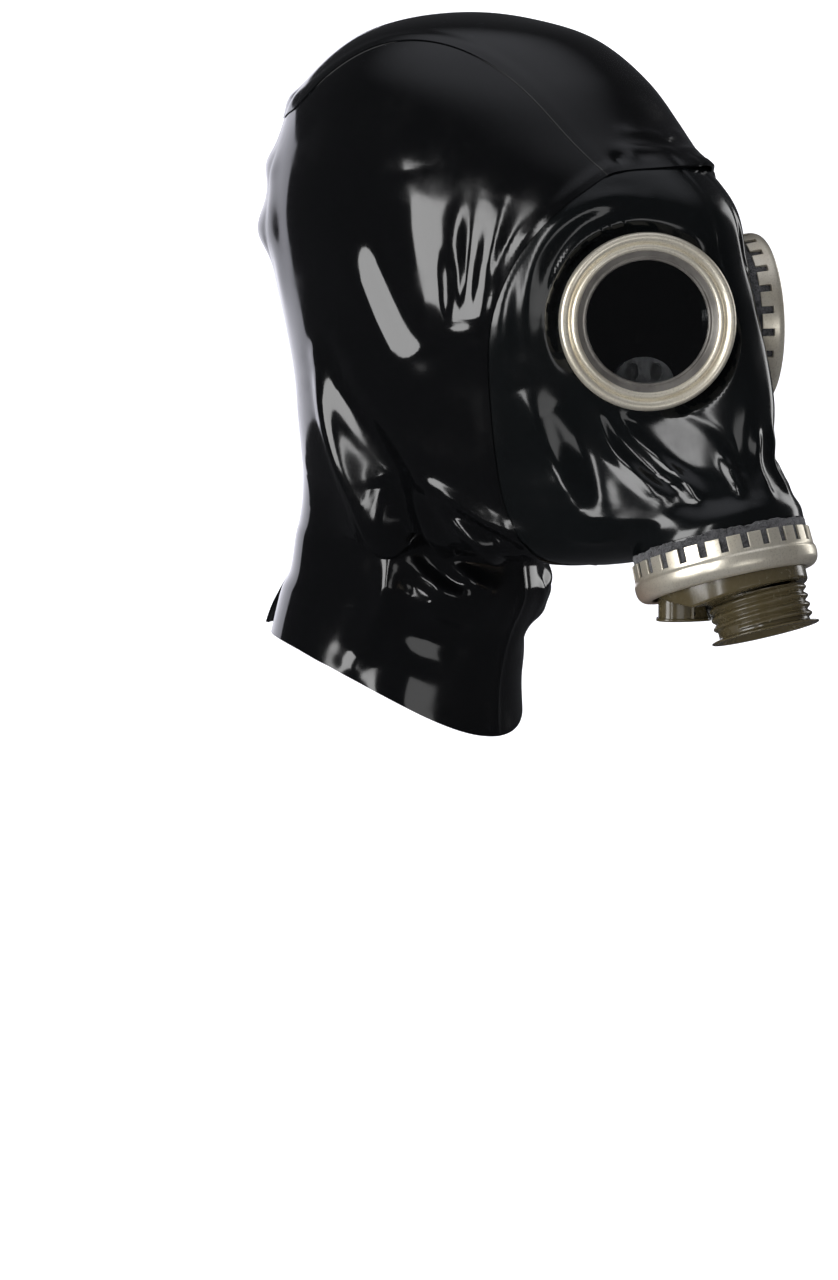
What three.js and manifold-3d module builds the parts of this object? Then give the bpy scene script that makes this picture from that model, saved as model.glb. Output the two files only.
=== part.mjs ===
// Latex hood mask with a moulded face piece, two round eyepieces and a valve box.
// Millimetres. The face looks along -Y, +Z is up, the wearer's left is +X.
// The origin is the inner top of the crown, where the head holds the mask up.
import * as THREE from 'three';
import Module from 'manifold-3d';
import { mergeVertices } from 'three/addons/utils/BufferGeometryUtils.js';

const wasm = await Module();
wasm.setup();

// Hood
const headLength = 204;
const headBreadth = 160;
const hoodHeight = 299;
const latexWall = 1.2;
const faceWall = 2;
const seamGap = 0.3;
const socketBlend = 11;

// Band over the closure at the back
const bandWidth = 30;
const bandWall = 1.4;
const bandSeat = 0.8;
const rippleHeight = 3;
const rippleCount = 5;
const tabLift = 6;

// Eyepieces, each measured inwards from the front of its clamp
const eyeSpacing = 82;
const eyeForward = 0.564 * headLength;
const eyeDrop = 0.418 * hoodHeight;
const eyeTurn = 50;
const eyeTilt = 2;
const eyeClampRadius = 35.4;
const eyeClampDepth = 9.5;
const eyeBoreRadius = 28;
const eyeSlots = 24;
const eyeSlotWidth = 2.4;
const eyeSlotLength = 5.6;
const eyeLipSetback = 2.5;
const lensWindowRadius = 24.7;
const lensRadius = 27.6;
const lensWall = 2.4;
const retainerWall = 1.2;
const retainerStep = 1.4;

// Valve, measured from the lower lip of its clamp along its own axis
const valveForward = 0.624 * headLength;
const valveDrop = 0.771 * hoodHeight;
const valveTilt = 16;
const valveClampDepth = 15.5;
const valveSlots = 26;
const valveSlotWidth = 2.2;
const valveSlotLength = 6;
const collarRoot = 5;
const throatTrim = 4;
const throatReach = 0.07 * headLength;
const housingRadius = 31.2;
const housingDepth = 6;
const housingWall = 1.6;
const housingClearance = 0.9;
const frontSlope = 5.5;
const rearSlope = 24;

// Inlet connector with a standard round thread 40 mm across
const threadRadius = 20;
const threadPitch = 3.6;
const threadDepth = 1.4;
const threadTurns = 4;
const crestStart = 0.35;
const crestEnd = 0.65;
const connectorBoreRadius = 16.5;
const connectorForward = 11.5;
const connectorLength = 17.2;
const connectorNeck = 3;
const connectorLipRadius = 22;
const lipWall = 1;
const lipFace = 2.4;

// Exhale cap behind the connector, upright. Its floor's middle is measured in the valve's frame.
const capWidth = 1.538 * housingRadius;
const capDepth = 0.769 * housingRadius;
const capHeight = 9;
const capSetback = 0.6 * housingRadius;
const capReach = 9.7;
const capClearance = 1.5;

// Air duct under each lens
const ductWidth = 24;
const ductTop = 13.6;
const ductBottom = 31.5;
const ductDepth = 8;
const ductWall = 1.5;
const ductArch = 0.8;
const ductHoleRadius = 2.7;
const ductGap = 0.6;

// Shared by the clamped joints
const clampWall = 0.8;
const tapeWall = 1.1;
const tapeShow = 3.8;
const collarWall = 2;
const fit = 0.3;

const TURN = 2 * Math.PI;
const HOOD_ROWS = 20;
const HOOD_COLS = 32;
const FACE_ROWS = 17;
const FACE_COLS = 16;
const BAND_ROWS = 16;
const BAND_COLS = 2;
const CONNECTOR_SIDES = 18;
const SLOT_REACH = 20;
const DIFFERENCE = 0.004;
const MERGE = 0.0001;

// Rows of values, each under its column's name
function table(columns, rows) {
  return rows.map((row) => Object.fromEntries(columns.map((column, i) => [column, row[i]])));
}

// Sections of the hood from the crown down. front, back and widest are shares of the head's
// length, half is a share of its breadth, frontZ and backZ are shares of the hood's height,
// curl bends a section's dip towards the front, push and spread shape the muzzle.
const SECTIONS = table(['frontZ', 'backZ', 'front', 'back', 'widest', 'half', 'curl', 'push', 'spread'], [
  [0.004, 0.004, 0, 0, 0, 0, 1, 0, 0.13],
  [-0.006, -0.006, -0.127, 0.137, 0.005, 0.169, 1, 0, 0.13],
  [-0.035, -0.035, -0.26, 0.25, -0.005, 0.306, 1, 0, 0.13],
  [-0.094, -0.094, -0.373, 0.353, -0.015, 0.412, 1, 0, 0.13],
  [-0.171, -0.171, -0.463, 0.412, -0.029, 0.469, 1, 0, 0.13],
  [-0.261, -0.261, -0.549, 0.436, -0.039, 0.497, 1, 0.05, 0.15],
  [-0.348, -0.348, -0.559, 0.417, -0.049, 0.5, 1, 0.085, 0.11],
  [-0.435, -0.421, -0.544, 0.385, -0.049, 0.494, 1, 0.137, 0.12],
  [-0.522, -0.488, -0.515, 0.358, -0.025, 0.478, 1, 0.19, 0.15],
  [-0.602, -0.548, -0.48, 0.348, 0, 0.459, 1, 0.225, 0.18],
  [-0.656, -0.589, -0.456, 0.343, 0.02, 0.438, 1, 0.29, 0.22],
  [-0.699, -0.622, -0.441, 0.343, 0.039, 0.412, 1, 0.34, 0.23],
  [-0.746, -0.656, -0.441, 0.348, 0.069, 0.388, 1, 0, 0.23],
  [-0.749, -0.689, -0.255, 0.358, 0.108, 0.362, 1, 0, 0.2],
  [-0.742, -0.716, -0.137, 0.37, 0.137, 0.347, 1, 0, 0.2],
  [-0.803, -0.763, -0.132, 0.387, 0.154, 0.338, 1.1, 0, 0.2],
  [-0.86, -0.789, -0.093, 0.409, 0.172, 0.338, 1.4, 0, 0.2],
  [-0.93, -0.823, -0.069, 0.426, 0.186, 0.338, 1.8, 0, 0.2],
  [-0.997, -0.856, -0.069, 0.439, 0.191, 0.344, 2.2, 0, 0.2],
]);

// The face piece's seam from the side, from the brow down: shares of length and of height.
const FACE_SEAM = [
  { back: -0.53, drop: -0.214 },
  { back: -0.47, drop: -0.222 },
  { back: -0.44, drop: -0.246 },
  { back: -0.39, drop: -0.29 },
  { back: -0.34, drop: -0.34 },
  { back: -0.298, drop: -0.41 },
  { back: -0.28, drop: -0.48 },
  { back: -0.272, drop: -0.58 },
  { back: -0.278, drop: -0.66 },
  { back: -0.3, drop: -0.71 },
  { back: -0.32, drop: -0.8 },
];

// The crown panel's seam from above, from the brow back: shares of length and of breadth.
const CROWN_SEAM = [
  { along: -0.56, half: 0.2 },
  { along: -0.46, half: 0.245 },
  { along: -0.37, half: 0.28 },
  { along: -0.24, half: 0.305 },
  { along: 0, half: 0.325 },
  { along: 0.15, half: 0.355 },
  { along: 0.22, half: 0.35 },
  { along: 0.29, half: 0.3 },
  { along: 0.35, half: 0.21 },
  { along: 0.4, half: 0.09 },
];

// Folds and ridges drawn by the head and neck, on the wearer's right and mirrored. Each runs
// from one point over a second towards a third, in shares of breadth, length and height, with
// its width and height in shares of breadth.
const FOLDS = table(['from', 'over', 'to', 'width', 'height'], [
  [[-0.43, 0.13, -0.53], [-0.42, 0.02, -0.7], [-0.31, 0.06, -0.85], 0.06, 0.025],
  [[-0.43, 0.05, -0.55], [-0.4, -0.04, -0.7], [-0.32, 0, -0.8], 0.06, -0.025],
  [[-0.4, -0.15, -0.68], [-0.35, -0.21, -0.72], [-0.29, -0.29, -0.74], 0.035, 0.014],
  [[-0.4, -0.06, -0.68], [-0.3, -0.13, -0.75], [-0.04, -0.13, -0.8], 0.04, 0.018],
  [[-0.4, 0.01, -0.7], [-0.3, -0.04, -0.77], [-0.07, -0.11, -0.83], 0.04, 0.018],
  [[-0.29, -0.01, -0.8], [-0.18, -0.08, -0.82], [-0.05, -0.11, -0.82], 0.035, -0.015],
  [[-0.35, -0.36, -0.55], [-0.3, -0.39, -0.61], [-0.27, -0.44, -0.67], 0.05, 0.018],
  [[-0.32, -0.38, -0.55], [-0.26, -0.44, -0.63], [-0.21, -0.52, -0.68], 0.05, -0.025],
  [[-0.28, -0.44, -0.51], [-0.22, -0.49, -0.6], [-0.18, -0.58, -0.66], 0.03, 0.016],
]);

// Where the crown seam's cutter, the face grid and the band begin and end
const crownCutDrop = 0.29;
const faceTop = 0.17;
const faceBottom = 0.78;
const faceReach = 74;
const bandTop = 0.19;
const tabStart = 0.75;

const rad = THREE.MathUtils.degToRad;
const smooth = (low, high, value) => THREE.MathUtils.smoothstep(value, low, high);
const HERE = new THREE.Matrix4();
const shift = (x, y, z) => new THREE.Matrix4().makeTranslation(x, y, z);
const shares = ([x, y, z]) => new THREE.Vector3(x * headBreadth, y * headLength, z * hoodHeight);

function spline(a, b, c, d, t) {
  const slope = c - a;
  const bend = 2 * a - 5 * b + 4 * c - d;
  const twist = 3 * b - a - 3 * c + d;
  return b + 0.5 * t * (slope + t * (bend + t * twist));
}

// One section at a share of the way down, mirrored past the crown so that the dome closes round.
function sectionAt(down) {
  const last = SECTIONS.length - 1;
  const place = Math.min(Math.max(down, 0), 1) * last;
  const index = Math.min(Math.floor(place), last - 1);
  const rows = [index - 1, index, index + 1, index + 2].map((row) => SECTIONS[Math.min(Math.abs(row), last)]);
  const section = {};
  for (const key of Object.keys(rows[0])) {
    const mirrored = index === 0 && ['front', 'back', 'half'].includes(key);
    const before = mirrored ? -rows[0][key] : rows[0][key];
    section[key] = spline(before, rows[1][key], rows[2][key], rows[3][key], place - index);
  }
  return section;
}

// The plain form under the folds. Angle 0 is the front, a positive angle goes to the wearer's left.
function plainPoint(down, angle) {
  const s = sectionAt(down);
  const ahead = Math.cos(angle);
  const length = headLength * (ahead > 0 ? s.widest - s.front : s.back - s.widest);
  const x = headBreadth * s.half * Math.sin(angle);
  const dip = ((1 + ahead) / 2) ** s.curl;
  const z = hoodHeight * (s.backZ + (s.frontZ - s.backZ) * dip);
  const across = x / (headBreadth * s.spread);
  const reach = ahead > 0 ? s.push * headLength / (1 + across ** 4) : 0;
  return new THREE.Vector3(x, headLength * s.widest - length * ahead - reach * smooth(0, 0.4, ahead), z);
}

function normalOf(point, down, angle) {
  if (down < DIFFERENCE) return new THREE.Vector3(0, 0, 1);
  const along = point(down + DIFFERENCE, angle).sub(point(down - DIFFERENCE, angle));
  const round = point(down, angle + DIFFERENCE).sub(point(down, angle - DIFFERENCE));
  return along.cross(round).normalize();
}

const FOLD_CURVES = FOLDS.map((fold) => ({
  points: new THREE.QuadraticBezierCurve3(shares(fold.from), shares(fold.over), shares(fold.to)).getPoints(12),
  width: fold.width * headBreadth,
  height: fold.height * headBreadth,
}));

// How far a point rises or sinks with the folds, which lie alike on both sides.
function foldHeight(point) {
  const mirrored = new THREE.Vector3(-Math.abs(point.x), point.y, point.z);
  let height = 0;
  for (const fold of FOLD_CURVES) {
    const near = Math.min(...fold.points.map((each) => each.distanceToSquared(mirrored)));
    height += fold.height * Math.exp(-near / fold.width ** 2);
  }
  return height;
}

function eyeMatrix(side) {
  const turn = rad(eyeTurn);
  const rise = rad(eyeTilt);
  const level = Math.cos(rise);
  const out = new THREE.Vector3(side * Math.sin(turn) * level, -Math.cos(turn) * level, Math.sin(rise));
  const across = new THREE.Vector3(0, 0, 1).cross(out).normalize();
  const matrix = new THREE.Matrix4().makeBasis(across, out.clone().cross(across), out);
  return matrix.setPosition(side * eyeSpacing / 2, -eyeForward, -eyeDrop);
}

const EYES = { right: eyeMatrix(-1), left: eyeMatrix(1) };
const valveOut = new THREE.Vector3(0, -Math.sin(rad(valveTilt)), -Math.cos(rad(valveTilt)));
const VALVE = new THREE.Matrix4()
  .makeBasis(new THREE.Vector3(1, 0, 0), valveOut.clone().cross(new THREE.Vector3(1, 0, 0)), valveOut)
  .setPosition(0, -valveForward, -valveDrop);

// The rubber is drawn flat behind each eyepiece, out to the socket's edge.
function seatInSocket(point) {
  for (const matrix of Object.values(EYES)) {
    const local = point.clone().applyMatrix4(matrix.clone().invert());
    const away = Math.hypot(local.x, local.y);
    const share = 1 - smooth(eyeClampRadius, eyeClampRadius + socketBlend, away);
    if (share <= 0 || Math.abs(local.z) > headBreadth / 4) continue;
    local.z += (-eyeClampDepth - tapeShow - local.z) * share;
    point.copy(local.applyMatrix4(matrix));
  }
  return point;
}

function hoodPoint(down, angle) {
  const point = plainPoint(down, angle);
  return seatInSocket(point.addScaledVector(normalOf(plainPoint, down, angle), foldHeight(point)));
}

const hoodInside = (wall) => (down, angle) => hoodPoint(down, angle)
  .addScaledVector(normalOf(hoodPoint, down, angle), -wall);

// Meshes and solids
function toSolid(geometry) {
  const plain = geometry.clone();
  plain.deleteAttribute('normal');
  plain.deleteAttribute('uv');
  const merged = mergeVertices(plain, MERGE);
  const corners = [];
  const index = merged.index.array;
  for (let i = 0; i < index.length; i += 3) {
    const [a, b, c] = index.subarray(i, i + 3);
    if (a !== b && b !== c && c !== a) corners.push(a, b, c);
  }
  const build = (triVerts) => new wasm.Manifold(new wasm.Mesh({
    numProp: 3,
    vertProperties: new Float32Array(merged.attributes.position.array),
    triVerts: new Uint32Array(triVerts),
  }));
  const solid = build(corners);
  return solid.volume() > 0 ? solid : build(corners.reverse());
}

// A closed sheet between an outer and an inner surface, both functions of two shares.
function sheet(rows, cols, outer, inner, round = false) {
  const position = [];
  const index = [];
  const width = cols + 1;
  const count = (rows + 1) * width;
  for (const surface of [outer, inner]) {
    for (let i = 0; i <= rows; i += 1) {
      for (let j = 0; j <= cols; j += 1) {
        const across = (round ? j % cols : j) / cols;
        position.push(...surface(i / rows, across).toArray());
      }
    }
  }
  const quad = (a, b, c, d) => index.push(a, b, c, a, c, d);
  for (let i = 0; i < rows; i += 1) {
    for (let j = 0; j < cols; j += 1) {
      const a = i * width + j;
      quad(a, a + width, a + width + 1, a + 1);
      quad(count + a, count + a + 1, count + a + width + 1, count + a + width);
    }
  }
  for (let j = 0; j < cols; j += 1) {
    const low = rows * width + j;
    quad(low, count + low, count + low + 1, low + 1);
    if (!round) quad(j + 1, count + j + 1, count + j, j);
  }
  for (let i = 0; i < rows && !round; i += 1) {
    const a = i * width;
    const b = a + cols;
    quad(a, count + a, count + a + width, a + width);
    quad(b + width, count + b + width, count + b, b);
  }
  const geometry = new THREE.BufferGeometry();
  geometry.setAttribute('position', new THREE.BufferAttribute(new Float32Array(position), 3));
  geometry.setIndex(index);
  return toSolid(geometry);
}

// A ring turned round the Z axis of its frame from [radius, height] pairs.
function turned(profile, sides, frame = HERE) {
  const points = profile.map(([radius, height]) => new THREE.Vector2(radius, height));
  const closed = profile[0][0] === 0 ? points : [...points, points[0]];
  return toSolid(new THREE.LatheGeometry(closed, sides, Math.PI / 2).rotateX(Math.PI / 2).applyMatrix4(frame));
}

function extruded(points, depth, frame = HERE) {
  const shape = new THREE.Shape(points.map(([x, y]) => new THREE.Vector2(x, y)));
  return toSolid(new THREE.ExtrudeGeometry(shape, { depth, bevelEnabled: false }).applyMatrix4(frame));
}

function disc(radius, low, high, sides, frame = HERE) {
  return turned([[0, low], [radius, low], [radius, high], [0, high]], sides, frame);
}

function block(size, centre, frame = HERE) {
  return toSolid(new THREE.BoxGeometry(...size).translate(...centre).applyMatrix4(frame));
}

const group = new THREE.Group();

function framed(frame) {
  const holder = new THREE.Group();
  frame.decompose(holder.position, holder.quaternion, holder.scale);
  group.add(holder);
  return holder;
}

function addPart(name, solid, material, holder = group) {
  const { vertProperties, triVerts } = solid.getMesh();
  const geometry = new THREE.BufferGeometry();
  geometry.setAttribute('position', new THREE.BufferAttribute(vertProperties, 3));
  geometry.setIndex(new THREE.BufferAttribute(triVerts, 1));
  geometry.computeVertexNormals();
  const mesh = new THREE.Mesh(geometry, material);
  mesh.name = name;
  holder.add(mesh);
}

const latex = new THREE.MeshStandardMaterial({ color: 0x0a0b0c, roughness: 0.15, metalness: 0 });
const faceRubber = new THREE.MeshStandardMaterial({ color: 0x0c0d0e, roughness: 0.2, metalness: 0 });
const steel = new THREE.MeshStandardMaterial({ color: 0xc9c1ad, roughness: 0.3, metalness: 1 });
const tape = new THREE.MeshStandardMaterial({ color: 0x3a3a3c, roughness: 0.9, metalness: 0 });
const glass = new THREE.MeshStandardMaterial({ color: 0xdfe6e6, roughness: 0.02, metalness: 0 });
const retainerMetal = new THREE.MeshStandardMaterial({ color: 0x6a6560, roughness: 0.5, metalness: 0.6 });
const olivePaint = new THREE.MeshStandardMaterial({ color: 0x463e2d, roughness: 0.25, metalness: 0 });
const ductRubber = new THREE.MeshStandardMaterial({ color: 0x2c2c2e, roughness: 0.6, metalness: 0 });

// Cutters: the face opening seen from the side, and the crown panel seen from above
const sideways = new THREE.Matrix4().makeBasis(
  new THREE.Vector3(0, 1, 0),
  new THREE.Vector3(0, 0, 1),
  new THREE.Vector3(1, 0, 0),
);
function faceCutter(grow) {
  const seam = FACE_SEAM.map(({ back, drop }) => [back * headLength + grow, drop * hoodHeight]);
  const [[brow, top], ...rest] = seam;
  const bottom = seam.at(-1)[1];
  const outline = [[-headLength, top + grow], [brow, top + grow], ...rest, [-headLength, bottom]];
  const matrix = sideways.clone().setPosition(-headBreadth, 0, 0);
  return extruded(outline, 2 * headBreadth, matrix);
}
function crownCutter(grow) {
  const edge = CROWN_SEAM.map(({ along, half }) => [half * headBreadth + grow, along * headLength]);
  const mirrored = edge.map(([x, y]) => [-x, y]).reverse();
  const end = [[edge.at(-1)[0], edge.at(-1)[1] + grow], [mirrored[0][0], mirrored[0][1] + grow]];
  const matrix = new THREE.Matrix4().makeTranslation(0, 0, -crownCutDrop * hoodHeight);
  return extruded([...edge, ...end, ...mirrored], 2 * crownCutDrop * hoodHeight, matrix);
}

// Latex hood: a crown panel and two sides, parted along their seams
function makeHood() {
  const at = (surface) => (down, round) => surface(down, TURN * round);
  const shell = sheet(HOOD_ROWS, HOOD_COLS, at(hoodPoint), at(hoodInside(latexWall)), true);
  const latexOnly = shell.subtract(faceCutter(seamGap));
  addPart('crown_panel', latexOnly.intersect(crownCutter(0)), latex);
  const sides = latexOnly.subtract(crownCutter(seamGap));
  const span = 2 * hoodHeight;
  for (const [name, side] of [['side_panel_right', -1], ['side_panel_left', 1]]) {
    const ownSide = block([span, span, 2 * span], [side * (span + seamGap) / 2, 0, 0]);
    addPart(name, sides.intersect(ownSide), latex);
  }
}

// Band over the closure at the back. Its lower end stands off the nape.
function makeRearBand() {
  const ripple = (down) => rippleHeight * (1 + Math.sin(TURN * rippleCount * down)) / 2 * (1 - down);
  const at = (lift) => (down, across) => {
    const place = bandTop + (1 - bandTop) * down;
    const half = sectionAt(place).half * headBreadth;
    const angle = Math.PI - Math.asin((across - 0.5) * bandWidth / half);
    const tab = tabLift * smooth(tabStart, 1, down) ** 1.5;
    const out = normalOf(plainPoint, place, angle);
    return plainPoint(place, angle).addScaledVector(out, lift + ripple(down) + tab);
  };
  addPart('rear_band', sheet(BAND_ROWS, BAND_COLS, at(bandSeat + bandWall), at(bandSeat)), latex);
}

// Moulded face piece with a collar for each eyepiece and one for the valve
const eyeTapeRadius = eyeClampRadius - 2 * clampWall - fit;
const eyeCollarRadius = eyeTapeRadius - tapeWall - fit;
const valveCollarRadius = housingRadius + housingClearance + collarWall;
const valveTapeRadius = valveCollarRadius + fit + tapeWall;
const valveClampRadius = valveTapeRadius + fit + 2 * clampWall;
const socket = -eyeClampDepth - tapeShow;
const throat = -valveClampDepth - tapeShow;

function makeFacePiece() {
  const at = (surface) => (down, round) => surface(
    THREE.MathUtils.lerp(faceTop, faceBottom, down),
    rad(faceReach) * (2 * round - 1),
  );
  let face = sheet(FACE_ROWS, FACE_COLS, at(hoodPoint), at(hoodInside(faceWall))).intersect(faceCutter(0));
  for (const matrix of Object.values(EYES)) {
    face = face.subtract(disc(eyeClampRadius + fit, socket, eyeClampDepth, eyeSlots, matrix));
    face = face.add(disc(eyeCollarRadius, socket - faceWall, -eyeLipSetback, eyeSlots, matrix));
    face = face.subtract(disc(eyeCollarRadius - collarWall, 3 * socket, eyeClampDepth, eyeSlots, matrix));
  }
  const root = throat - collarRoot;
  for (const forward of [0, throatReach]) {
    const place = VALVE.clone().multiply(shift(0, forward, 0));
    face = face.subtract(disc(valveClampRadius + throatTrim, throat, valveClampDepth, valveSlots, place));
  }
  face = face.add(disc(valveCollarRadius, root, -eyeLipSetback, valveSlots, VALVE));
  const bore = disc(valveCollarRadius - collarWall, root - fit, valveClampDepth, valveSlots, VALVE);
  addPart('face_piece', face.subtract(bore), faceRubber);
}

// A sheet metal clamp with a comb of slots in the edge that grips the tape
function clamp(radius, depth, bore, slots, slotWidth, slotLength) {
  const inner = radius - 2 * clampWall;
  const ring = turned([
    [radius - clampWall, -depth],
    [radius, -2 * clampWall],
    [radius - 2 * clampWall, 0],
    [bore, 0],
    [bore, -clampWall],
    [inner, -clampWall - fit],
    [inner, -depth],
  ], slots);
  const size = [SLOT_REACH, slotWidth, 2 * SLOT_REACH];
  const middle = slotLength - depth - SLOT_REACH;
  const cuts = [];
  for (let i = 0; i < slots; i += 1) {
    const turn = new THREE.Matrix4().makeRotationZ(((i + 0.5) / slots) * TURN);
    cuts.push(block(size, [radius, 0, middle], turn));
  }
  return ring.subtract(wasm.Manifold.union(cuts));
}

function tapeRing(radius, low, high, sides) {
  return turned([[radius, low], [radius, high], [radius - tapeWall, high], [radius - tapeWall, low]], sides);
}

function makeEyepiece(side, holder) {
  const ring = clamp(eyeClampRadius, eyeClampDepth, eyeBoreRadius, eyeSlots, eyeSlotWidth, eyeSlotLength);
  addPart(`eye_clamp_${side}`, ring, steel, holder);
  addPart(`eye_tape_${side}`, tapeRing(eyeTapeRadius, socket + fit, -eyeLipSetback, eyeSlots), tape, holder);
  const cup = eyeCollarRadius - collarWall - fit;
  const front = -clampWall - fit;
  const face = front - retainerStep;
  const lensFront = face - retainerWall - fit;
  const lensBack = lensFront - lensWall;
  addPart(`lens_${side}`, disc(lensRadius, lensBack, lensFront, eyeSlots), glass, holder);
  addPart(`lens_retainer_${side}`, turned([
    [lensWindowRadius, face],
    [eyeBoreRadius, front],
    [cup, front],
    [cup, lensBack],
    [lensRadius + fit, lensBack],
    [lensRadius + fit, lensFront + fit],
    [lensWindowRadius, lensFront + fit],
  ], eyeSlots), retainerMetal, holder);
}

// The rubber duct under each lens, open below, with two outlets
function makeDuct(side, holder) {
  const outline = (half, top, bottom) => {
    const rise = half * ductArch;
    const arch = new THREE.EllipseCurve(0, top - rise, half, rise, 0, Math.PI).getPoints(5);
    return [[-half, bottom], [half, bottom], ...arch.map((p) => [p.x, p.y])];
  };
  const half = ductWidth / 2;
  const back = socket - faceWall - ductGap - ductDepth;
  const hollow = outline(half - ductWall, -ductTop - ductWall, -ductBottom - ductWall);
  let duct = extruded(outline(half, -ductTop, -ductBottom), ductDepth, shift(0, 0, back));
  duct = duct.subtract(extruded(hollow, ductDepth - 2 * ductWall, shift(0, 0, back + ductWall)));
  for (const way of [-1, 1]) {
    const hole = shift(way * ductWidth / 5, -ductTop - ductWidth / 4, back + ductDepth / 2);
    duct = duct.subtract(disc(ductHoleRadius, 0, ductDepth, 8, hole));
  }
  addPart(`air_duct_${side}`, duct, ductRubber, holder);
}

// Valve box: the housing's floor is a shallow wedge, with the connector on its front slope
function makeValve(holder) {
  const mouth = housingRadius + fit;
  const ring = clamp(valveClampRadius, valveClampDepth, mouth, valveSlots, valveSlotWidth, valveSlotLength);
  addPart('valve_clamp', ring, steel, holder);
  addPart('valve_tape', tapeRing(valveTapeRadius, throat + fit, -eyeLipSetback, valveSlots), tape, holder);

  const size = [4 * housingRadius, 4 * housingRadius, 2 * housingRadius];
  const slope = (tilt, drop, way) => block(
    size,
    [0, 0, way * housingRadius],
    shift(0, 0, housingDepth + drop).multiply(new THREE.Matrix4().makeRotationX(rad(tilt))),
  );
  const below = (drop) => slope(-frontSlope, drop, 1).add(slope(rearSlope, drop, 1));
  const top = throat - collarRoot;
  const low = 2 * housingDepth;
  const outside = disc(housingRadius, top, low, valveSlots).subtract(below(0));
  const inside = disc(housingRadius - housingWall, top - fit, low, valveSlots).subtract(below(-housingWall));
  const centre = shift(0, connectorForward, 0);
  const bore = (radius) => disc(radius, 0, 4 * housingRadius, CONNECTOR_SIDES, centre);
  const port = capForm(capWidth / 2 - 3 * housingWall, capDepth / 2 - 3 * housingWall, 0);
  const housing = outside.subtract(inside).subtract(bore(connectorBoreRadius)).subtract(port);
  addPart('valve_housing', housing, olivePaint, holder);

  const cap = capForm(capWidth / 2, capDepth / 2, 0)
    .subtract(capForm(capWidth / 2 - housingWall, capDepth / 2 - housingWall, housingWall))
    .subtract(bore(threadRadius + capClearance))
    .subtract(slope(rearSlope, fit, -1));
  addPart('exhale_cap', cap, olivePaint, holder);

  const end = housingDepth + connectorLength;
  const root = threadRadius - threadDepth;
  const profile = [[connectorBoreRadius, 0], [root, 0]];
  for (let i = 0; i < threadTurns; i += 1) {
    const start = end - connectorNeck - (threadTurns - i) * threadPitch;
    profile.push([root, start]);
    profile.push([threadRadius, start + threadPitch * crestStart]);
    profile.push([threadRadius, start + threadPitch * crestEnd]);
  }
  profile.push([root, end - connectorNeck]);
  profile.push([root, end - connectorNeck / 2]);
  profile.push([connectorLipRadius, end - lipWall]);
  profile.push([connectorLipRadius, end]);
  profile.push([connectorLipRadius - lipFace, end]);
  profile.push([connectorBoreRadius, end - connectorNeck]);
  const connector = turned(profile, CONNECTOR_SIDES, centre).subtract(slope(-frontSlope, fit, -1));
  addPart('inlet_connector', connector, olivePaint, holder);
}

// The upright oval of the exhale cap, from a floor above its bottom up into the housing
function capForm(halfWide, halfDeep, floor) {
  const edge = new THREE.EllipseCurve(0, 0, halfWide, halfDeep, 0, TURN).getPoints(18).slice(0, -1);
  const place = shift(0, -capSetback, capReach);
  const upright = place.multiply(new THREE.Matrix4().makeRotationX(Math.PI + rad(valveTilt)));
  return extruded(edge.map((p) => [p.x, p.y]), 2 * capHeight, upright.multiply(shift(0, 0, floor)));
}

makeHood();
makeRearBand();
makeFacePiece();
for (const [side, matrix] of Object.entries(EYES)) {
  const holder = framed(matrix);
  makeEyepiece(side, holder);
  makeDuct(side, holder);
}
makeValve(framed(VALVE));

export default group;
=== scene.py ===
"""Looks of a black latex hood with a moulded rubber face piece, in metres and in the frame's own place.

The face looks along -Y, +Z is up, the wearer's left is +X and the origin is the inner top of the crown.
The hood's panels and the face piece are fine sheets on one surface: a table of sections, drawn over the
head's folds. Metal fittings are turned round the axes of the eyepieces and of the valve.
"""
import math

import bmesh
import bpy
import numpy as np
from mathutils import Matrix, Vector

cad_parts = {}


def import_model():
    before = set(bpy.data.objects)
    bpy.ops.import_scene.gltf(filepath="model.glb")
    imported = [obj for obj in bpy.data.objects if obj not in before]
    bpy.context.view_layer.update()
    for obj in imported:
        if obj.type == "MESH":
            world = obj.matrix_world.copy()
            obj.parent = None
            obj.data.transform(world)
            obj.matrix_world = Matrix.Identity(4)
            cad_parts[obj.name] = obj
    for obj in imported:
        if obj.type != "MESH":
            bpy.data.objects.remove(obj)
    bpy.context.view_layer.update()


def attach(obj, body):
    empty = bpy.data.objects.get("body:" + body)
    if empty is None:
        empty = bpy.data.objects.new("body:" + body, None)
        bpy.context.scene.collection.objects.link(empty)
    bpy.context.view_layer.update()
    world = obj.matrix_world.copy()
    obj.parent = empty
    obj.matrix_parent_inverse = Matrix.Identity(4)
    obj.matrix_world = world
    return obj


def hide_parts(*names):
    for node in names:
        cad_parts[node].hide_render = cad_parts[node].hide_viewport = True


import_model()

MM = 0.001
TURN = 2 * math.pi

# ---------------------------------------------------------------- driving sizes
HEAD_LENGTH = 204 * MM
HEAD_BREADTH = 160 * MM
HOOD_HEIGHT = 299 * MM
LATEX_WALL = 1.0 * MM
FACE_WALL = 1.8 * MM
COLLAR_WALL = 2 * MM
LAP_LIFT = 0.5 * MM
LAP_UNDER = 2.2 * MM
LAP_BLEND = 7 * MM
SOCKET_BLEND = 5 * MM

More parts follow.
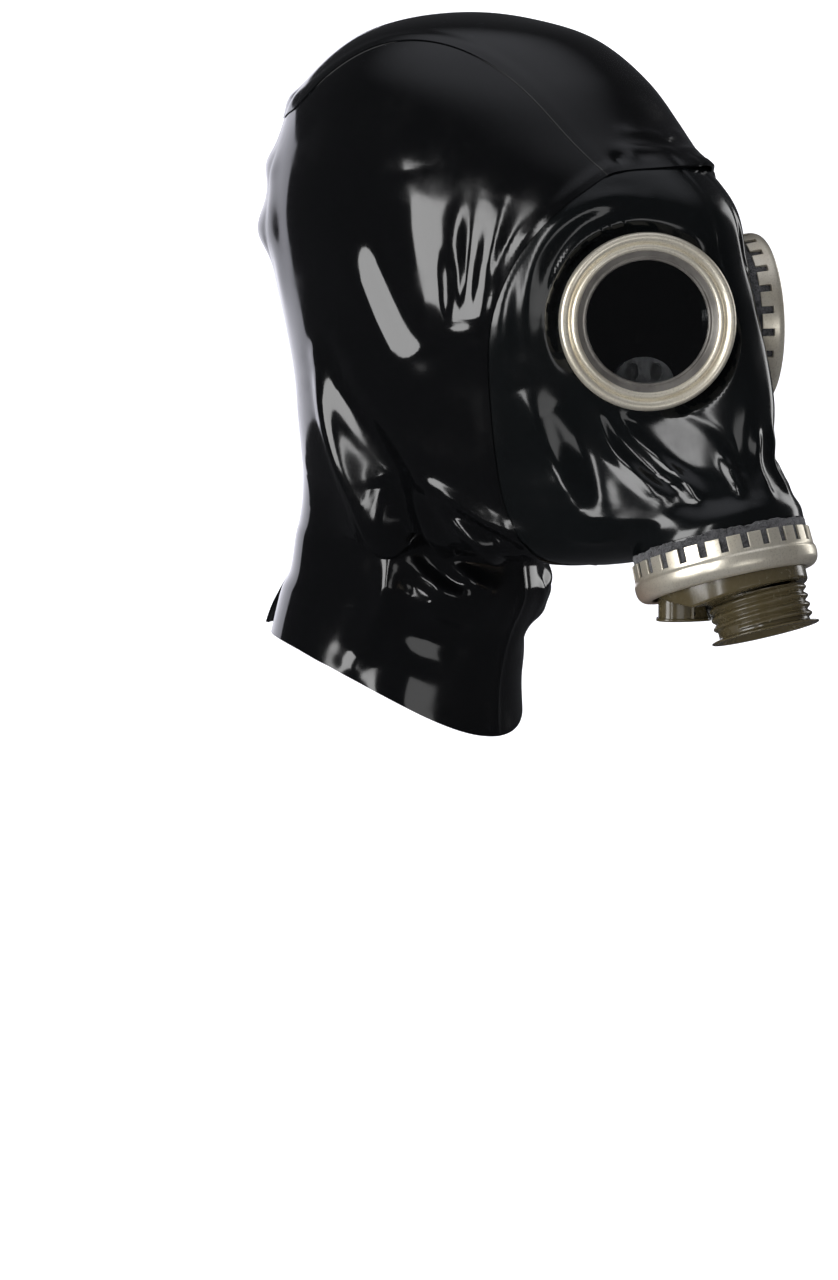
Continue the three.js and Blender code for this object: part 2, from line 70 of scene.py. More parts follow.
EYE_SPACING = 82 * MM
EYE_FORWARD = 0.564 * HEAD_LENGTH
EYE_DROP = 0.418 * HOOD_HEIGHT
EYE_TURN = math.radians(50)
EYE_TILT = math.radians(2)
EYE_RADIUS = 35.4 * MM
EYE_DEPTH = 9.5 * MM
EYE_COLLAR = 32.1 * MM
EYE_SLOTS = 24
LENS_RADIUS = 27.6 * MM
LENS_WINDOW = 24.8 * MM

VALVE_FORWARD = 0.624 * HEAD_LENGTH
VALVE_DROP = 0.771 * HOOD_HEIGHT
VALVE_TILT = math.radians(16)
VALVE_RADIUS = 37.4 * MM
VALVE_DEPTH = 15.5 * MM
VALVE_COLLAR = 34.1 * MM
VALVE_SLOTS = 26
TAPE_SHOW = 3.8 * MM
TAPE_WALL = 1.1 * MM

HOUSING_RADIUS = 31.2 * MM
HOUSING_DEPTH = 8 * MM
HOUSING_WALL = 1.6 * MM
FRONT_SLOPE = math.radians(5.5)
REAR_SLOPE = math.radians(24)
THREAD_RADIUS = 20 * MM
THREAD_PITCH = 3.6 * MM
THREAD_DEPTH = 1.5 * MM
THREAD_TURNS = 4
BORE_RADIUS = 16.5 * MM
CONNECTOR_FORWARD = 11.5 * MM
CONNECTOR_LENGTH = 15.2 * MM
CONNECTOR_NECK = 3 * MM
CONNECTOR_LIP = 22 * MM

CAP_WIDTH = 48 * MM
CAP_DEPTH = 24 * MM
CAP_FORWARD = 112 * MM
CAP_DROP = 245 * MM

DUCT_WIDTH = 24 * MM
DUCT_TOP = 13.6 * MM
DUCT_BOTTOM = 31.5 * MM
DUCT_DEPTH = 8 * MM
DUCT_HOLE = 2.9 * MM

BAND_WIDTH = 30 * MM
BAND_WALL = 1.4 * MM
BAND_SEAT = 0.8 * MM
BAND_TOP = 0.19
PUCKERS = ((-35, 3), (-59, 4), (-86, 6), (-112, 2))
PUCKER_WIDTH = 11 * MM
TAB_START = 0.75
TAB_LIFT = 6 * MM

# ---------------------------------------------------------------- the hood's surface
# Sections from the crown down. front, back and widest are shares of the head's length, half is a share of
# its breadth, the two heights are shares of the hood's, curl bends the dip, push and spread make the muzzle.
COLUMNS = ("front_z", "back_z", "front", "back", "widest", "half", "curl", "push", "spread")
SECTIONS = np.array((
    (0.004, 0.004, 0, 0, 0, 0, 1, 0, 0.13),
    (-0.006, -0.006, -0.127, 0.137, 0.005, 0.169, 1, 0, 0.13),
    (-0.035, -0.035, -0.26, 0.25, -0.005, 0.306, 1, 0, 0.13),
    (-0.094, -0.094, -0.373, 0.353, -0.015, 0.412, 1, 0, 0.13),
    (-0.171, -0.171, -0.463, 0.412, -0.029, 0.469, 1, 0, 0.13),
    (-0.261, -0.261, -0.549, 0.436, -0.039, 0.497, 1, 0.05, 0.15),
    (-0.348, -0.348, -0.559, 0.417, -0.049, 0.5, 1, 0.085, 0.11),
    (-0.435, -0.421, -0.544, 0.385, -0.049, 0.494, 1, 0.137, 0.12),
    (-0.522, -0.488, -0.515, 0.358, -0.025, 0.478, 1, 0.19, 0.15),
    (-0.602, -0.548, -0.48, 0.348, 0, 0.459, 1, 0.225, 0.18),
    (-0.656, -0.589, -0.456, 0.343, 0.02, 0.438, 1, 0.29, 0.22),
    (-0.699, -0.622, -0.441, 0.343, 0.039, 0.412, 1, 0.34, 0.23),
    (-0.746, -0.656, -0.441, 0.348, 0.069, 0.388, 1, 0, 0.23),
    (-0.749, -0.689, -0.255, 0.358, 0.108, 0.362, 1, 0, 0.2),
    (-0.742, -0.716, -0.137, 0.37, 0.137, 0.347, 1, 0, 0.2),
    (-0.803, -0.763, -0.132, 0.387, 0.154, 0.338, 1.1, 0, 0.2),
    (-0.86, -0.789, -0.093, 0.409, 0.172, 0.338, 1.4, 0, 0.2),
    (-0.93, -0.823, -0.069, 0.426, 0.186, 0.338, 1.8, 0, 0.2),
    (-0.997, -0.856, -0.069, 0.439, 0.191, 0.344, 2.2, 0, 0.2),
))
PAST_CROWN = np.array([-1.0 if name in ("front", "back", "half") else 1.0 for name in COLUMNS])
STEP = 0.004

# Seams: the face piece's from the side (shares of length and height), the crown's from above (length, breadth).
FACE_SEAM = ((-0.53, -0.214), (-0.47, -0.222), (-0.44, -0.246), (-0.39, -0.29), (-0.34, -0.34), (-0.298, -0.41),
             (-0.28, -0.48), (-0.272, -0.58), (-0.278, -0.66), (-0.3, -0.71), (-0.32, -0.8))
CROWN_SEAM = ((-0.56, 0.2), (-0.46, 0.245), (-0.37, 0.28), (-0.24, 0.305), (0, 0.325), (0.15, 0.355),
              (0.22, 0.35), (0.29, 0.3), (0.35, 0.21), (0.4, 0.09))
CROWN_DROP = 0.29

# Folds and ridges in millimetres on the wearer's right, alike on the left: route, width, height.
FOLDS = (
    # neck: the long S, the hollow in front of it and the hollow behind
    (((-74, 27, -140), (-72, 22, -160), (-68, 11, -191), (-58, 4, -217), (-50, 6, -234), (-51, 13, -250),
      (-56, 22, -266)), 6, 5.5),
    (((-77, 14, -146), (-71, -4, -180), (-62, -11, -203), (-48, -9, -224), (-44, 0, -240)), 10, -6),
    (((-68, 34, -190), (-62, 32, -215), (-58, 34, -245)), 15, -3.5),
    # neck: the folds that run forward under the jaw, each with its groove
    (((-70, -1, -190), (-58, -2, -212), (-44, -4, -227), (-36, -11, -235), (-20, -20, -242)), 5, 4.2),
    (((-62, -8, -205), (-50, -10, -220), (-38, -13, -229), (-24, -18, -236)), 3.4, -3.2),
    (((-68, -14, -194), (-58, -18, -209), (-42, -18, -223), (-28, -20, -232), (-17, -22, -237)), 4.2, 3.6),
    (((-62, -24, -203), (-50, -30, -217), (-36, -28, -226), (-22, -27, -230)), 3.8, -3),
    (((-63, -32, -202), (-54, -42, -214), (-44, -42, -220), (-32, -37, -223), (-22, -33, -225)), 3.8, 3),
    (((-65, -30, -197), (-57, -45, -209), (-48, -56, -216)), 3.4, -3.5),
    (((-68, -22, -188), (-62, -38, -200), (-55, -54, -208), (-48, -66, -213)), 4.5, 2.8),
    (((-46, 0, -238), (-34, -10, -244), (-20, -18, -250)), 4.5, 2.4),
    (((-44, 4, -250), (-30, -9, -257), (-18, -16, -261)), 7, -2),
    # ear: the raised shell, its slit, the groove in front of it and the sliver beyond
    (((-77, -28, -62), (-77, -32, -88), (-76, -37, -112), (-73, -45, -138)), 16, 2.2),
    (((-75, -43, -99), (-74, -44, -126)), 2.6, -0.9),
    (((-69, -52, -76), (-72, -51, -100), (-73, -50, -125)), 4.5, -1.6),
    (((-65, -64, -76), (-69, -60, -95), (-71, -56, -112), (-72, -51, -134)), 4.5, 1.5),
    # behind the ear: two slanting swells and the hollow between them
    (((-79, 14, -98), (-80, 1, -108), (-79, -9, -122), (-77, -20, -140), (-73, -30, -158)), 10, 1.7),
    (((-79, -6, -90), (-79, -15, -110), (-76, -29, -140)), 8, -1.7),
    (((-78, 14, -127), (-77, 5, -140), (-76, -2, -156)), 8, 1.4),
    (((-60, 66, -66), (-64, 62, -96), (-64, 58, -124)), 7, 2.4),
    # eye socket: the outer swell, the rim and the groove inside it
    (((-52, -92, -76), (-62, -77, -90), (-67, -67, -110), (-67, -63, -134), (-64, -62, -154)), 6, 1.3),
    (((-30, -107, -77), (-42, -96, -77), (-54, -85, -86), (-61, -76, -100), (-62, -71, -120),
      (-61, -71, -140)), 3.6, 1.3),
    (((-38, -99, -83), (-50, -88, -88), (-57, -80, -104), (-58, -77, -126)), 3, -1.6),
    # cheek: the long swell and the hollow in front of it
    (((-61, -68, -150), (-56, -72, -165), (-49, -78, -185), (-44, -87, -202)), 8, 2.6),
    (((-52, -79, -156), (-43, -87, -181), (-39, -95, -203)), 7, -1.4),
    (((-46, -76, -207), (-41, -86, -211), (-38, -96, -211)), 3, 1.8),
    # muzzle: two ribs from under the eyepiece with the groove between, and a crease
    (((-42, -94, -150), (-39, -98, -160), (-36, -103, -169), (-31, -114, -180), (-27, -125, -190),
      (-26, -131, -197)), 3, 3.4),
    (((-41, -96, -162), (-38, -100, -172), (-33, -112, -184), (-30, -121, -191)), 2, -2.6),
    (((-44, -91, -156), (-42, -94, -167), (-39, -98, -177), (-35, -109, -188), (-33, -117, -195)), 3.4, 2.8),
    (((-28, -112, -152), (-22, -120, -160), (-16, -133, -170), (-14, -141, -184)), 2, -1.5),
    (((-16, -135, -178), (-17, -145, -197)), 2.4, 2),
    (((-5, -139, -162), (-6, -145, -180), (-7, -150, -196)), 2.6, 2),
    # nose: the two creases beside the flat strip down the middle
    (((-7.5, -104, -60), (-7.5, -124, -86), (-8, -132, -112), (-9, -134, -142), (-9, -140, -168)), 1.6, -1.5),
    (((-15, -100, -64), (-15, -117, -86), (-16, -126, -112), (-18, -128, -140)), 3.4, 1.3),
    # brow: small crumples of the crown panel above the seam, and a dent
    (((-30, -93, -55), (-16, -98, -57), (4, -102, -58)), 2.2, 1.4),
    (((-22, -90, -49), (-8, -94, -50), (8, -98, -53)), 2.6, 1.1),
    (((-32, -94, -59), (-31, -95, -61)), 2.4, -1.8),
    (((-27, -96, -58), (-25, -98, -60)), 2.2, 1.4),
    # back: the puckers across the closure, under the band
    (((-3, 74, -33), (-24, 71, -34), (-46, 56, -37)), 6, 2),
    (((-3, 84, -59), (-28, 79, -60), (-52, 62, -64)), 7, 2.6),
    (((-3, 87, -86), (-28, 82, -87), (-52, 66, -90)), 10, 4.5),
)
FOLD_STEPS = 6


def smooth(low, high, value):
    share = np.clip((value - low) / (high - low), 0, 1)
    return share * share * (3 - 2 * share)


def catmull(a, b, c, d, t):
    return b + 0.5 * t * ((c - a) + t * ((2 * a - 5 * b + 4 * c - d) + t * (3 * b - a - 3 * c + d)))


def section(down):
    """The section at each share of the way down, mirrored past the crown so that the dome closes round."""
    last = len(SECTIONS) - 1
    place = np.clip(down, 0, 1) * last
    index = np.minimum(place.astype(int), last - 1)
    rows = [SECTIONS[np.minimum(np.abs(index + step), last)] for step in (-1, 0, 1, 2)]
    rows[0] = np.where((index == 0)[:, None], rows[0] * PAST_CROWN, rows[0])
    return dict(zip(COLUMNS, catmull(*rows, (place - index)[:, None]).T))


def plain(down, angle):
    """The surface under the folds. Angle 0 is the front, a positive one goes to the wearer's left."""
    s = section(down)
    ahead = np.cos(angle)
    length = HEAD_LENGTH * np.where(ahead > 0, s["widest"] - s["front"], s["back"] - s["widest"])
    x = HEAD_BREADTH * s["half"] * np.sin(angle)
    dip = ((1 + ahead) / 2) ** s["curl"]
    z = HOOD_HEIGHT * (s["back_z"] + (s["front_z"] - s["back_z"]) * dip)
    reach = s["push"] * HEAD_LENGTH / (1 + (x / (HEAD_BREADTH * s["spread"])) ** 4)
    y = HEAD_LENGTH * s["widest"] - length * ahead - np.where(ahead > 0, reach * smooth(0, 0.4, ahead), 0)
    return np.stack((x, y, z), axis=1)


def normals(surface, down, angle):
    along = surface(down + STEP, angle) - surface(down - STEP, angle)
    around = surface(down, angle + STEP) - surface(down, angle - STEP)
    out = np.cross(along, around)
    out[down < STEP] = (0, 0, 1)
    return out / np.maximum(np.linalg.norm(out, axis=1), 1e-12)[:, None]


def routed(points):
    """A fold's route as a smooth line of points."""
    points = np.array(points, float)
    ends = np.vstack((2 * points[0] - points[1], points, 2 * points[-1] - points[-2]))
    share = np.linspace(0, 1, FOLD_STEPS, endpoint=False)[:, None]
    runs = [catmull(*ends[i:i + 4], share) for i in range(len(points) - 1)]
    return np.vstack((*runs, points[-1:]))


def off_line(points, line):
    """Each point's distance from a line, and how far along it the nearest place is."""
    best = np.full(len(points), np.inf)
    along = np.zeros(len(points))
    for i in range(len(line) - 1):
        run = line[i + 1] - line[i]
        share = np.clip((points - line[i]) @ run / (run @ run), 0, 1)
        away = np.linalg.norm(points - line[i] - share[:, None] * run, axis=1)
        nearer = away < best
        best = np.where(nearer, away, best)
        along = np.where(nearer, (i + share) / (len(line) - 1), along)
    return best, along


def fold_height(points):
    right = points * (-1, 1, 1) * np.sign(points[:, :1] + 1e-12) ** (1, 0, 0)
    height = np.zeros(len(points))
    for route, width, rise in FOLDS:
        line = routed(route) * MM
        low = line.min(axis=0) - 3 * width * MM
        high = line.max(axis=0) + 3 * width * MM
        near = np.all((right > low) & (right < high), axis=1)
        if near.any():
            away, along = off_line(right[near], line)
            ends = np.minimum(1, 1.15 * np.sin(math.pi * np.clip(along, 0.04, 0.96)) ** 0.6)
            height[near] += rise * MM * ends * np.exp(-(away / (width * MM)) ** 2)
    return height


def axes(out, side, place):
    matrix = Matrix((side, out.cross(side), out)).transposed().to_4x4()
    matrix.translation = place
    return matrix


def eye_frame(side):
    level = math.cos(EYE_TILT)
    out = Vector((side * math.sin(EYE_TURN) * level, -math.cos(EYE_TURN) * level, math.sin(EYE_TILT)))
    across = Vector((0, 0, 1)).cross(out).normalized()
    return axes(out, across, Vector((side * EYE_SPACING / 2, -EYE_FORWARD, -EYE_DROP)))


EYES = {"right": eye_frame(-1), "left": eye_frame(1)}
VALVE = axes(Vector((0, -math.sin(VALVE_TILT), -math.cos(VALVE_TILT))), Vector((1, 0, 0)),
             Vector((0, -VALVE_FORWARD, -VALVE_DROP)))
SOCKET = -EYE_DEPTH - TAPE_SHOW
THROAT = -VALVE_DEPTH - TAPE_SHOW
THROAT_TRIM = 4 * MM
THROAT_BLEND = 13 * MM


def local(points, matrix):
    inverse = np.array(matrix.inverted())
    return points @ inverse[:3, :3].T + inverse[:3, 3]


def world(points, matrix):
    forward = np.array(matrix)
    return points @ forward[:3, :3].T + forward[:3, 3]


def seated(points):
    """Drawn flat behind each eyepiece and round over the collar above the valve."""
    for matrix in EYES.values():
        near = local(points, matrix)
        share = 1 - smooth(EYE_RADIUS, EYE_RADIUS + SOCKET_BLEND, np.hypot(near[:, 0], near[:, 1]))
        share[np.abs(near[:, 2]) > HEAD_BREADTH / 4] = 0
        near[:, 2] += (SOCKET - near[:, 2]) * share
        points = np.where((share > 0)[:, None], world(near, matrix), points)
    near = local(points, VALVE)
    radius = np.maximum(np.hypot(near[:, 0], near[:, 1]), 1e-9)
    share = smooth(THROAT - THROAT_BLEND, THROAT - 1 * MM, near[:, 2]) * smooth(22 * MM, 28 * MM, radius)
    share = share * (1 - smooth(40 * MM, 52 * MM, radius))
    wanted = VALVE_COLLAR + TAPE_WALL
    near[:, :2] *= (1 + share * (wanted / radius - 1))[:, None]
    return np.where((share > 0)[:, None], world(near, VALVE), points)


def drawn(down, angle):
    """The outer surface: plain form, folds, sockets."""
    points = plain(down, angle)
    out = normals(plain, down, angle)
    return seated(points + out * fold_height(points)[:, None])


# ---------------------------------------------------------------- seams as signed distances
def inside_polygon(points, polygon):
    inside = np.zeros(len(points), bool)
    for a, b in zip(polygon, np.roll(polygon, -1, axis=0)):
        spans = (a[1] > points[:, 1]) != (b[1] > points[:, 1])
        with np.errstate(divide="ignore", invalid="ignore"):
            crossing = a[0] + (points[:, 1] - a[1]) * (b[0] - a[0]) / (b[1] - a[1])
        inside ^= spans & (points[:, 0] < crossing)
    return inside


def signed(points, polygon, seam):
    away, _ = off_line(points, seam)
    return np.where(inside_polygon(points, polygon), away, -away)


face_line = routed(np.array(FACE_SEAM)) * (HEAD_LENGTH, HOOD_HEIGHT)
face_front = np.array(((-HEAD_LENGTH, face_line[-1][1]), (-HEAD_LENGTH, face_line[0][1])))
face_seam = np.vstack((face_front[1:], face_line))
face_polygon = np.vstack((face_line, face_front))
crown_half = routed(np.array(CROWN_SEAM))[:, ::-1] * (HEAD_BREADTH, HEAD_LENGTH)
crown_line = np.vstack((crown_half, crown_half[::-1] * (-1, 1)))


def in_face(points):
    """Distance inside the face piece's seam, negative on the hood."""
    return signed(points[:, 1:], face_polygon, face_seam)


def in_crown(points):
    """Distance inside the crown panel's seam, seen from above."""
    away = signed(points[:, :2], crown_line, crown_line)
    return np.minimum(away, points[:, 2] + CROWN_DROP * HOOD_HEIGHT)


def clear_of_eyes(points):
    gaps = [np.hypot(*local(points, matrix)[:, :2].T) + 1.0 * (np.abs(local(points, matrix)[:, 2]) > 30 * MM)
            for matrix in EYES.values()]
    return np.minimum(*gaps) - EYE_COLLAR


def clear_of_valve(points):
    near = local(points, VALVE)
    return np.maximum(THROAT - near[:, 2], np.hypot(near[:, 0], near[:, 1]) - VALVE_RADIUS - THROAT_TRIM)


# ---------------------------------------------------------------- mesh tools
def finish_mesh(bm, name, material, nodes, sharp=40):
    mesh = bpy.data.meshes.new(name)
    bm.to_mesh(mesh)
    bm.free()
    for polygon in mesh.polygons:
        polygon.use_smooth = True
    mesh.set_sharp_from_angle(angle=math.radians(sharp))
    piece = bpy.data.objects.new(name, mesh)
    bpy.context.scene.collection.objects.link(piece)
    piece.data.materials.append(material)
    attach(piece, "root")
    if nodes:
        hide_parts(*nodes)
    return piece


def sheet(rows, cols, span, reach):
    """A grid whose x is the angle and y the share of the way down."""
    bm = bmesh.new()
    bmesh.ops.create_grid(bm, x_segments=cols, y_segments=rows, size=1)
    middle, half = sum(span) / 2, (span[1] - span[0]) / 2
    for vert in bm.verts:
        vert.co = (vert.co.x * reach, middle + half * vert.co.y, 0)
    return bm


def flat_places(elements):
    return np.array([(e[0], e[1]) for e in elements]).reshape(-1, 2)


def on_surface(places):
    return drawn(places[:, 1], places[:, 0])


def cut_along(bm, level, levels=(0,)):
    """Adds an edge loop wherever the level has one of the values."""
    verts = list(bm.verts)
    heights = dict(zip(verts, level(on_surface(flat_places([v.co for v in verts])))))
    for value in levels:
        crossed = []
        for edge in bm.edges:
            low, high = (heights[vert] - value for vert in edge.verts)
            if low * high < 0:
                crossed.append((edge, edge.verts[0], low / (low - high)))
        added = [bmesh.utils.edge_split(edge, vert, share)[1] for edge, vert, share in crossed]
        heights.update((vert, value) for vert in added)
        bmesh.ops.connect_verts(bm, verts=added)


def keep_where(bm, *levels):
    faces = list(bm.faces)
    points = on_surface(flat_places([f.calc_center_median() for f in faces]))
    keep = np.all([level(points) > 0 for level in levels], axis=0)
    bmesh.ops.delete(bm, geom=[f for f, kept in zip(faces, keep) if not kept], context="FACES")


def raise_sheet(bm, lift, wall, merge=False):
    """Puts the flat grid on the surface, lifts it and gives it its wall."""
    verts = list(bm.verts)
    places = flat_places([v.co for v in verts])
    points = on_surface(places)
    out = normals(drawn, places[:, 1], places[:, 0])
    inside = points + out * (lift(points) - wall)[:, None]
    points = points + out * lift(points)[:, None]
    for vert, point in zip(verts, points):
        vert.co = point
    bm.verts.index_update()
    offset = {tuple(round(c, 7) for c in vert.co): inner for vert, inner in zip(verts, inside)}
    if merge:
        bmesh.ops.remove_doubles(bm, verts=bm.verts[:], dist=0.01 * MM)
    bmesh.ops.recalc_face_normals(bm, faces=bm.faces[:])
    made = bmesh.ops.extrude_face_region(bm, geom=bm.faces[:], use_keep_orig=True)
    for vert in (e for e in made["geom"] if isinstance(e, bmesh.types.BMVert)):
        inner = offset.get(tuple(round(c, 7) for c in vert.co))
        if inner is not None:
            vert.co = inner
    bmesh.ops.recalc_face_normals(bm, faces=bm.faces[:])
    return bm


def spun(profile, steps, matrix, closed=True):
    """A profile of (radius, height) turned once round the matrix's Z axis."""
    bm = bmesh.new()
    verts = [bm.verts.new((radius, 0, height)) for radius, height in profile]
    for a, b in zip(verts, verts[1:] + (verts[:1] if closed else [])):
        bm.edges.new((a, b))
    bmesh.ops.spin(bm, geom=bm.verts[:] + bm.edges[:], cent=(0, 0, 0), axis=(0, 0, 1), dvec=(0, 0, 0),
                   angle=TURN, steps=steps, use_merge=True)
    bmesh.ops.remove_doubles(bm, verts=bm.verts[:], dist=0.002 * MM)
    bmesh.ops.recalc_face_normals(bm, faces=bm.faces[:])
    bm.transform(matrix)
    return bm


def rounded(corners, radius, steps=4):
    """A closed profile with each corner rounded: corners are (radius, height, rounding share)."""
    points = []
    count = len(corners)
    for i, (x, y, share) in enumerate(corners):
        here = np.array((x, y))
        if share == 0:
            points.append(tuple(here))
            continue
        before = np.array(corners[i - 1][:2]) - here
        after = np.array(corners[(i + 1) % count][:2]) - here
        size = radius * share
        start = here + before * min(0.48, size / np.linalg.norm(before))
        end = here + after * min(0.48, size / np.linalg.norm(after))
        for step in range(steps + 1):
            t = step / steps
            points.append(tuple((1 - t) ** 2 * start + 2 * t * (1 - t) * here + t * t * end))
    return points


def carved(piece, cutter_bm, way="DIFFERENCE"):
    """Cuts the piece with a closed shape, once and for all."""
    mesh = bpy.data.meshes.new("cutter")
    cutter_bm.to_mesh(mesh)
    cutter_bm.free()
    cutter = bpy.data.objects.new("cutter", mesh)
    bpy.context.scene.collection.objects.link(cutter)
    modifier = piece.modifiers.new("cut", "BOOLEAN")
    modifier.operation = way
    modifier.solver = "EXACT"
    modifier.object = cutter
    bpy.context.view_layer.update()
    done = bpy.data.meshes.new_from_object(piece.evaluated_get(bpy.context.evaluated_depsgraph_get()))
    piece.modifiers.remove(modifier)
    old = piece.data
    piece.data = done
    bpy.data.meshes.remove(old)
    bpy.data.objects.remove(cutter)
    for polygon in done.polygons:
        polygon.use_smooth = True
    done.set_sharp_from_angle(angle=math.radians(32))


# ---------------------------------------------------------------- materials
def socket(group, name, way, kind="NodeSocketFloat", default=None):
    made = group.interface.new_socket(name=name, in_out=way, socket_type=kind)
    if default is not None:
        made.default_value = default
    return made


class Graph:
    """Short names for adding and joining nodes in one tree."""

    def __init__(self, tree):
        self.tree = tree

    def add(self, kind, **values):
        node = self.tree.nodes.new(kind)
        for key, value in values.items():
            setattr(node, key, value)
        return node

    def join(self, start, end):
        self.tree.links.new(start, end)

    def math(self, operation, a, b=None):
        node = self.add("ShaderNodeMath", operation=operation)
        for i, value in enumerate((a, b)):
            if value is None:
                continue
            if isinstance(value, (int, float)):
                node.inputs[i].default_value = value
            else:
                self.join(value, node.inputs[i])
        return node.outputs[0]

    def noise(self, vector, scale, detail=3.0, rough=0.5):
        node = self.add("ShaderNodeTexNoise")
        node.inputs["Detail"].default_value = detail
        node.inputs["Roughness"].default_value = rough
        self.feed(scale, node.inputs["Scale"])
        self.join(vector, node.inputs["Vector"])
        return node.outputs["Fac"]

    def feed(self, value, into):
        if isinstance(value, (int, float)):
            into.default_value = value
        else:
            self.join(value, into)

    def ramp(self, value, low, high, to_low=0.0, to_high=1.0):
        node = self.add("ShaderNodeMapRange", interpolation_type="SMOOTHSTEP")
        for key, number in (("From Min", low), ("From Max", high), ("To Min", to_low), ("To Max", to_high)):
            node.inputs[key].default_value = number
        self.join(value, node.inputs["Value"])
        return node.outputs["Result"]

    def blend(self, share, first, second, mode="MIX"):
        node = self.add("ShaderNodeMix", data_type="RGBA", blend_type=mode)
        self.feed(share, node.inputs["Factor"])
        for value, into in ((first, node.inputs["A"]), (second, node.inputs["B"])):
            if isinstance(value, tuple):
                into.default_value = (*value, 1)
            else:
                self.join(value, into)
        return node.outputs["Result"]


def group_of(name, inputs, outputs):
    tree = bpy.data.node_groups.new(name, "ShaderNodeTree")
    for key, kind, default in inputs:
        socket(tree, key, "INPUT", kind, default)
    for key, kind in outputs:
        socket(tree, key, "OUTPUT", kind)
    graph = Graph(tree)
    return tree, graph, graph.add("NodeGroupInput").outputs, graph.add("NodeGroupOutput").inputs


def make_handled():
    """Wiped gloss: smears in the roughness, fine dust and a soft ripple of the skin."""
    tree, g, i, o = group_of("handled gloss", (
        ("Vector", "NodeSocketVector", None),
        ("Low", "NodeSocketFloat", 0.08),
        ("High", "NodeSocketFloat", 0.2),
        ("Smear Scale", "NodeSocketFloat", 30.0), ("Dust", "NodeSocketFloat", 0.3),
        ("Ripple Scale", "NodeSocketFloat", 120.0)),
        (("Roughness", "NodeSocketFloat"), ("Dust Mask", "NodeSocketFloat"), ("Height", "NodeSocketFloat")))
    smear = g.ramp(g.noise(i["Vector"], i["Smear Scale"], 5, 0.6), 0.42, 0.75)
    cells = g.add("ShaderNodeTexVoronoi", feature="F1")
    cells.inputs["Scale"].default_value = 900
    g.join(i["Vector"], cells.inputs["Vector"])
    specks = g.ramp(cells.outputs["Distance"], 0.16, 0.08)
    patches = g.ramp(g.noise(i["Vector"], 55.0, 3), 0.55, 0.72)
    dust = g.math("MULTIPLY", g.math("MULTIPLY", specks, patches), i["Dust"])
    spread = g.math("SUBTRACT", i["High"], i["Low"])
    rough = g.math("ADD", i["Low"], g.math("MULTIPLY", smear, spread))
    g.join(g.math("ADD", rough, g.math("MULTIPLY", dust, 0.35)), o["Roughness"])
    g.join(dust, o["Dust Mask"])
    g.join(g.noise(i["Vector"], i["Ripple Scale"], 1), o["Height"])
    return tree


def make_worn():
    """Wear of plate and paint: blotches, fine marks and a height for both."""
    tree, g, i, o = group_of("worn finish", (
        ("Vector", "NodeSocketVector", None), ("Blotch Scale", "NodeSocketFloat", 60.0),
        ("Mark Scale", "NodeSocketFloat", 900.0), ("Amount", "NodeSocketFloat", 0.5)),
        (("Blotch", "NodeSocketFloat"), ("Marks", "NodeSocketFloat"), ("Height", "NodeSocketFloat")))
    blotch = g.ramp(g.noise(i["Vector"], i["Blotch Scale"], 5, 0.62), 0.4, 0.7)
    marks = g.ramp(g.noise(i["Vector"], i["Mark Scale"], 2, 0.5), 0.5, 0.72)
    scaled = g.math("MULTIPLY", blotch, i["Amount"])
    fine = g.math("MULTIPLY", marks, i["Amount"])
    g.join(scaled, o["Blotch"])
    g.join(fine, o["Marks"])
    g.join(g.math("ADD", g.math("MULTIPLY", scaled, 0.4), g.math("MULTIPLY", fine, 0.6)), o["Height"])
    return tree


HANDLED = make_handled()
WORN = make_worn()


def material(name):
    made = bpy.data.materials.new(name)
    made.use_nodes = True
    graph = Graph(made.node_tree)
    shader = made.node_tree.nodes["Principled BSDF"]
    place = graph.add("ShaderNodeTexCoord").outputs["Object"]
    return made, graph, shader, place


def use_group(graph, tree, place, **values):
    node = graph.add("ShaderNodeGroup", node_tree=tree)
    graph.join(place, node.inputs["Vector"])
    for key, value in values.items():
        node.inputs[key.replace("_", " ")].default_value = value
    return node.outputs


def bump(graph, shader, height, strength, distance):
    node = graph.add("ShaderNodeBump")
    node.inputs["Strength"].default_value = strength
    node.inputs["Distance"].default_value = distance
    graph.join(height, node.inputs["Height"])
    graph.join(node.outputs["Normal"], shader.inputs["Normal"])


def glossy_skin(name, colour, dusty, low, high, ripple, ripple_depth, dust):
    made, g, shader, place = material(name)
    skin = use_group(g, HANDLED, place, Low=low, High=high, Dust=dust, Ripple_Scale=ripple)
    g.join(g.blend(skin["Dust Mask"], colour, dusty), shader.inputs["Base Color"])
    g.join(skin["Roughness"], shader.inputs["Roughness"])
    bump(g, shader, skin["Height"], 0.5, ripple_depth)
    shader.inputs["IOR"].default_value = 1.52
    return made


def metal_plate(name):
    made, g, shader, place = material(name)
    wear = use_group(g, WORN, place, Blotch_Scale=70.0, Mark_Scale=1500.0, Amount=0.75)
    tint = g.blend(wear["Blotch"], (0.78, 0.73, 0.61), (0.64, 0.58, 0.46))
    split = g.add("ShaderNodeSeparateXYZ")
    g.join(place, split.inputs[0])
    low = g.ramp(split.outputs["Z"], -0.222, -0.238)
    rear = g.ramp(split.outputs["Y"], -0.128, -0.1)
    copper = g.math("MULTIPLY", g.math("MULTIPLY", low, rear), 0.55)
    tint = g.blend(copper, tint, (0.62, 0.36, 0.22))
    marked = g.math("MULTIPLY", wear["Marks"], 0.35)
    g.join(g.blend(marked, tint, (0.24, 0.2, 0.15)), shader.inputs["Base Color"])
    g.join(g.math("ADD", g.math("MULTIPLY", wear["Blotch"], 0.14), 0.28), shader.inputs["Roughness"])
    shader.inputs["Metallic"].default_value = 0.8
    bump(g, shader, wear["Height"], 0.25, 0.05 * MM)
    return made


